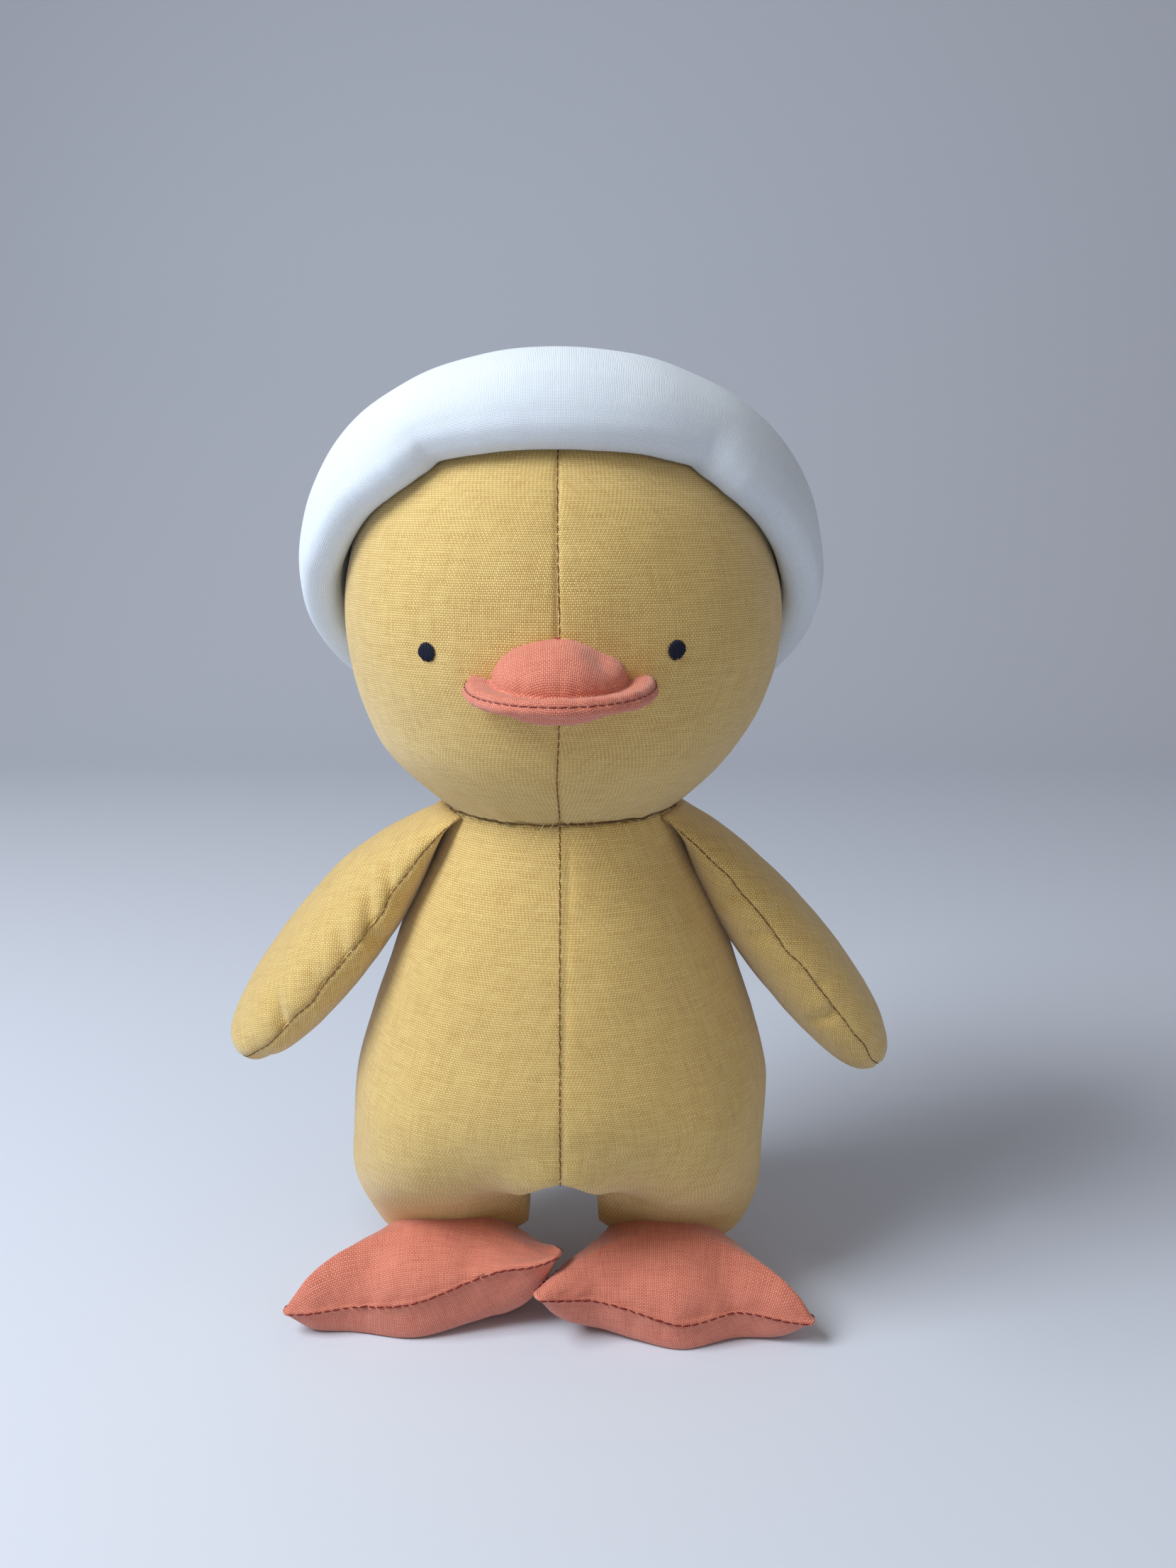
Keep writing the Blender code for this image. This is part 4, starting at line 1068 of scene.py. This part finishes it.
for side, name in SIDES.items():
    edge_points = foot_edges[side]
    (middle_x, middle_y), crest, belly = foot_makes[side]
    edge_line = smooth_line(edge_points + edge_points[:1], foot_columns + 1, before=edge_points[-1],
                            after=edge_points[1])[:-1]
    lean = np.linspace(-math.pi / 2, math.pi / 2, foot_rows)[1:-1][:, None]
    reach = np.cos(lean)
    x = middle_x + (edge_line[:, 0] - middle_x) * reach
    y = middle_y + (edge_line[:, 1] - middle_y) * reach
    # How far inside the edge each point lies, and how far from the two pointed tips.
    start = edge_line[:, :2]
    span = np.roll(start, -1, axis=0) - start
    spot = np.stack([x, y], axis=2)[:, :, None] - start[None, None]
    share = np.clip((spot * span).sum(axis=3) / (span ** 2).sum(axis=1), 0, 1)
    inward = np.sqrt(((spot - share[..., None] * span) ** 2).sum(axis=3).min(axis=2))
    inward = inward * (np.abs(lean) > 1e-9)
    seam_height = heel_seam + (edge_line[:, 2] - heel_seam) * reach ** 2.5
    tips = np.array([edge_points[0][:2], edge_points[inner_tip][:2]])
    from_tip = np.sqrt(((np.stack([x, y], axis=2)[:, :, None] - tips) ** 2).sum(axis=3)).min(axis=2)
    over = seam_height + (crest - seam_height) * swell(inward, top_rise, from_tip, top_taper)
    # The top is pinched in behind the hollows of its front edge.
    for dent_x, dent_y, depth in foot_dents[side]:
        way = Vector((dent_x - middle_x, dent_y - middle_y)).normalized()
        beside = np.abs((x - dent_x) * way.y - (y - dent_y) * way.x)
        ahead = -((x - dent_x) * way.x + (y - dent_y) * way.y)
        over = over - depth * near(beside, 0, 0.0040) * near(ahead, 0.005, 0.0055)
    under = seam_height - belly * swell(inward, sole_rise, from_tip, sole_taper)
    under = floor_gap + (under + np.sqrt(under ** 2 + 0.0007 ** 2)) / 2
    height = np.where(lean > 0, over, np.minimum(under, seam_height))
    outward = edge_line[:, :2] - (middle_x, middle_y)
    outward /= np.linalg.norm(outward, axis=1, keepdims=True)
    # The sole stands out a little under the seam.
    bulge = 0.0017 * near(inward, 0.0022, 0.0022) * (lean < 0) * (1 - np.exp(-from_tip / 0.012))
    points = np.stack([x + outward[:, 0] * bulge, y + outward[:, 1] * bulge, height], axis=2)
    facing = grid_normals(points) * side
    step = np.linalg.norm(np.diff(points, axis=0), axis=2)
    run = np.concatenate([np.zeros((1, points.shape[1])), np.cumsum(step, axis=0)])
    seam_row = int(np.argmax(reach[:, 0]))
    away = np.abs(run - run[seam_row])
    round_step = np.linalg.norm(np.roll(points[seam_row], -1, axis=0) - points[seam_row], axis=1)
    around = np.concatenate([[0], np.cumsum(round_step)[:-1]])[None, :] + 0 * away
    pull = seam_pull(away, around, 0.00045, 0.0008, 0.00030, 0.0090, 80 + side)
    # The seam pulls and crumples the cloth only where it is clear of the floor.
    free = np.clip((points[:, :, 2] - 0.0008) / 0.002, 0, 1)
    points = points - facing * (pull * free)[:, :, None]
    lifted = crumpled(points, facing, 0.00030, 0.012, 30 + side)
    points = points + (lifted - points) * free[:, :, None]
    points[:, :, 2] = np.maximum(points[:, :, 2], floor_gap)
    if side == LEFT:
        points = np.roll(points[:, ::-1], 1, axis=1)
    blank = np.zeros((len(points), points.shape[1] // 2 + 1, 2))
    middles = [points[0].mean(axis=0), points[-1].mean(axis=0)]
    foot = sewn_shell(f"foot_cloth_{name}", points, [blank, blank], coral_cotton, *middles)
    laid_flat(foot, seam_row * foot_columns, (seam_row + 1) * foot_columns, 0.6 * side)
    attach(foot, f"foot_{name}")
    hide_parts(f"foot_top_{name}", f"foot_sole_{name}", f"foot_stuffing_{name}")
    normals = [v.normal for v in foot.data.vertices]
    seam = [[]]
    for column in range(foot_columns + 1):
        spot = points[seam_row, column % foot_columns]
        if np.hypot(*(spot[:2] - tips).T).min() > 0.0022:
            seam[-1].append((spot, normals[seam_row * foot_columns + column % foot_columns]))
        elif seam[-1]:
            seam.append([])
    foot_stitches = sewn_line(f"foot_seam_stitches_{name}", [run for run in seam if run], red_thread,
                              foot_stitch, 0.0023, 90 + side, lift=0.00032, lean=0.16)
    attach(foot_stitches, f"foot_{name}")
    front = [pair for run in seam for pair in run if pair[0][1] < -0.030]
    foot_ends = sewn_line(f"foot_pale_ends_{name}", [front], pale_thread, frayed_end, 0.0035, 95 + side,
                          lift=0.0002, lean=1.3, keep=0.12, sizes=(0.5, 1.0))
    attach(foot_ends, f"foot_{name}")


# Hat: white cotton. A plain band and a round crown sit on the back of the head. A doubled, lightly filled
# brim is turned up all round. On the forehead its fold lies level between two kinks and hugs the head.
# The blue tint of both colours is painted cool light on the white cloth. The second colour is also painted
# shade for the gaps between its threads.
white_cotton = woven("white_cotton", (0.87, 0.93, 0.99), (0.62, 0.71, 0.88), pitch=(0.00036, 0.00040),
                     slub=0.08, crumple=0.00008, sheen=0.08)
hat_middle = Vector((0, 0.002, 0.181))
hat_place = Matrix.Translation(hat_middle) @ Matrix.Rotation(math.radians(-42), 4, "X")


def hat_cloth(name, line, thickness, shaping, turn_count=240):
    """White cloth turned round the hat's axis along a line of radius and height, then shaped."""
    line = np.array(line)
    turns = np.linspace(0, 2 * math.pi, turn_count, endpoint=False)
    slope = np.gradient(line, axis=0)
    slope /= np.linalg.norm(slope, axis=1, keepdims=True)
    beside = np.stack([slope[:, 1], -slope[:, 0]], axis=1) * thickness / 2
    loop = np.vstack([line + beside, (line - beside)[::-1]])
    loop = np.vstack([loop, loop[:1]])
    radius, height = loop[:, 0][:, None], loop[:, 1][:, None]
    radius, height = shaping(radius + 0 * turns, height + 0 * turns, turns[None, :] + 0 * radius)
    points = np.stack([radius * np.sin(turns), -radius * np.cos(turns), height], axis=2)
    steps = np.concatenate([[0], np.cumsum(np.linalg.norm(np.diff(loop, axis=0), axis=1))])[:, None]
    u = np.append(turns, 2 * math.pi)[None, :] * 0.060 + 0 * steps
    cut = np.stack([u, steps + 0 * u], axis=2)
    half = turn_count // 2
    cuts = [cut[:, :half + 1], cut[:, half:]]
    made = sewn_shell(name, carried(points, hat_place), cuts, white_cotton)
    faced_out(made.data, 1e-6)
    made.data.shade_smooth()
    return made


def from_front(turns):
    """The angle from the forehead, from -pi to pi."""
    return (turns + math.pi) % (2 * math.pi) - math.pi


def eased_step(value, low, high):
    """0 below low, 1 above high and a soft step between."""
    share = np.clip((value - low) / (high - low), 0, 1)
    return share * share * (3 - 2 * share)


band_line = smooth_line([(0.0559, 0.0024), (0.0555, 0.0055), (0.0549, 0.0085), (0.0541, 0.0125),
                         (0.0527, 0.0175), (0.0492, 0.0268)], 36)


def band_shape(radius, height, turns):
    """Close to the head at front and back, and lifted over the forehead with the brim."""
    turned = from_front(turns)
    high = np.clip(height / band_line[-1, 1], 0, 1)
    at_front = eased_step(-np.abs(turned), -1.8, -1.3)
    loose = -np.cos(turned) ** 2 * (0.0027 * high + 0.0020 * (1 - high) * at_front)
    low = np.clip(1 - (height + 0.0015) / 0.018, 0, 1)
    lift = 0.0095 * (1 - eased_step(np.abs(turned), 0.86, 1.08)) * low
    return radius + loose + 0.0002 * ripple(turns * 0.055, 0.02, 101), height + lift


band = hat_cloth("hat_band_cloth", band_line, 0.0007, band_shape)
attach(band, "hat")
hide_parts("hat_side_band")


def crown_shape(radius, height, turns):
    """Gathered a little towards its middle, and narrower from front to back like the head."""
    fold = 0.0007 * ripple(turns * 0.04, 0.022, 102) * np.clip(radius / 0.05, 0, 1)
    hug = -0.0027 * np.cos(turns) ** 2 * np.clip(radius / 0.05, 0, 1) ** 2
    return radius + hug, height + fold * (radius > 0.004)


crown_base = 0.0266
crown_knots = [(0.0492, 0.0000), (0.0459, 0.0067), (0.0383, 0.0148), (0.0283, 0.0211), (0.0154, 0.0258),
               (0.0002, 0.0274)]
crown_line = smooth_line([(r, crown_base + h) for r, h in crown_knots], 50)
crown = hat_cloth("hat_crown_cloth", crown_line, 0.0007, crown_shape)
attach(crown, "hat")
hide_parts("hat_crown")

brim_section = [
    (0.0569, 0.0080),
    (0.0563, 0.0036),
    (0.0563, 0.0004),
    (0.0578, -0.0021),
    (0.0600, -0.0026),
    (0.0621, -0.0014),
    (0.0642, 0.0030),
    (0.0655, 0.0108),
    (0.0650, 0.0187),
    (0.0628, 0.0241),
    (0.0600, 0.0255),
    (0.0580, 0.0232),
    (0.0574, 0.0187),
]
fold_turns = [-3.15, -1.25, -1.10, -0.92, -0.78, -0.66, -0.58, -0.52, -0.44, -0.30, -0.15, 0, 0.15, 0.30,
              0.44, 0.52, 0.585, 0.66, 0.76, 0.88, 1.00, 1.15, 1.30, 3.15]
fold_lifts = [0.0050, 0.0010, 0.0020, 0.0032, 0.0029, 0.0038, 0.0053, 0.0069, 0.0060, 0.0049, 0.0042,
              0.0040, 0.0042, 0.0049, 0.0059, 0.0067, 0.0074, 0.0055, 0.0038, 0.0034, 0.0032, 0.0022,
              0.0012, 0.0050]


def brim_shape(radius, height, turns):
    """Its lower fold lies along the lifts, close to the head, with a crease at each kink."""
    turned = from_front(turns)
    low = np.clip(1 - (height + 0.003) / 0.017, 0, 1) ** 1.3
    lift = np.interp(turned, fold_turns, fold_lifts) * low
    hug = -0.0025 * np.cos(turned) ** 2 * (0.15 + 0.85 * low)
    outer = np.clip((radius - 0.0585) / 0.003, 0, 1)
    loose = 0.0016 * np.sin(turned) ** 2 * low * outer
    dents = 0.00012 * ripple(turned * 0.06, 0.024, 103)
    crease = 0
    for kink in (-0.56, 0.63):
        crease = crease + 0.0004 * near(turned, kink, 0.045) * low
    return radius + dents + hug + loose - crease, height + lift + dents * 0.5


brim_line = smooth_line(brim_section, 90)
brim = hat_cloth("hat_brim_cloth", brim_line, 0.0014, brim_shape, 480)
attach(brim, "hat")
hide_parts("hat_brim")


# The patterns for stitches are not part of the duck.
for pattern in (seam_stitch, foot_stitch, hand_stitch, frayed_end):
    bpy.data.objects.remove(pattern)


# The setting: a pale cool paper sweep, a large soft window to the upper left and weak light all round.
# The camera stands low in front and looks down a little.
sweep_mesh = bpy.data.meshes.new("sweep")
sweep_line = [(-1.2, 0.0)] + [(0.75 + 0.5 * math.sin(a), 0.5 - 0.5 * math.cos(a))
                              for a in np.linspace(0, math.pi / 2, 16)] + [(1.25, 2.2)]
corners = [(x, y, z) for y, z in sweep_line for x in (-3, 3)]
faces = [(2 * i, 2 * i + 1, 2 * i + 3, 2 * i + 2) for i in range(len(sweep_line) - 1)]
sweep_mesh.from_pydata(corners, [], faces)
sweep_mesh.shade_smooth()
sweep = placed("sweep", sweep_mesh)
paper = Finish("pale_paper")
sweep_mesh.materials.append(paper.surface(Base_Color=(0.64, 0.68, 0.78, 1), Roughness=0.9))

for name, size, power, tint, place, target in (
        ("window", 0.50, 11.4, (0.92, 0.97, 1.0), (-0.62, -0.33, 0.80), (0, 0, 0.15)),
        ("bounce", 1.2, 2.3, (1.0, 0.94, 0.88), (1.1, -0.9, 0.45), (0, 0, 0.12))):
    light = bpy.data.lights.new(name, "AREA")
    light.size = size
    light.energy = power
    light.color = tint
    lamp = placed(name, light)
    lamp.location = place
    lamp.rotation_euler = (Vector(target) - Vector(place)).to_track_quat("-Z", "Y").to_euler()
world = bpy.data.worlds.new("room")
world.use_nodes = True
world.node_tree.nodes["Background"].inputs["Color"].default_value = (0.98, 0.95, 0.92, 1)
world.node_tree.nodes["Background"].inputs["Strength"].default_value = 0.26
bpy.context.scene.world = world

lens = bpy.data.cameras.new("camera")
lens.sensor_width = 36
lens.lens = 30.92
camera = placed("camera", lens)
camera.location = (0.0067, -0.342, 0.205)
camera.rotation_euler = (math.radians(78.6), 0, 0)
bpy.context.scene.camera = camera
bpy.context.scene.view_settings.view_transform = "Standard"
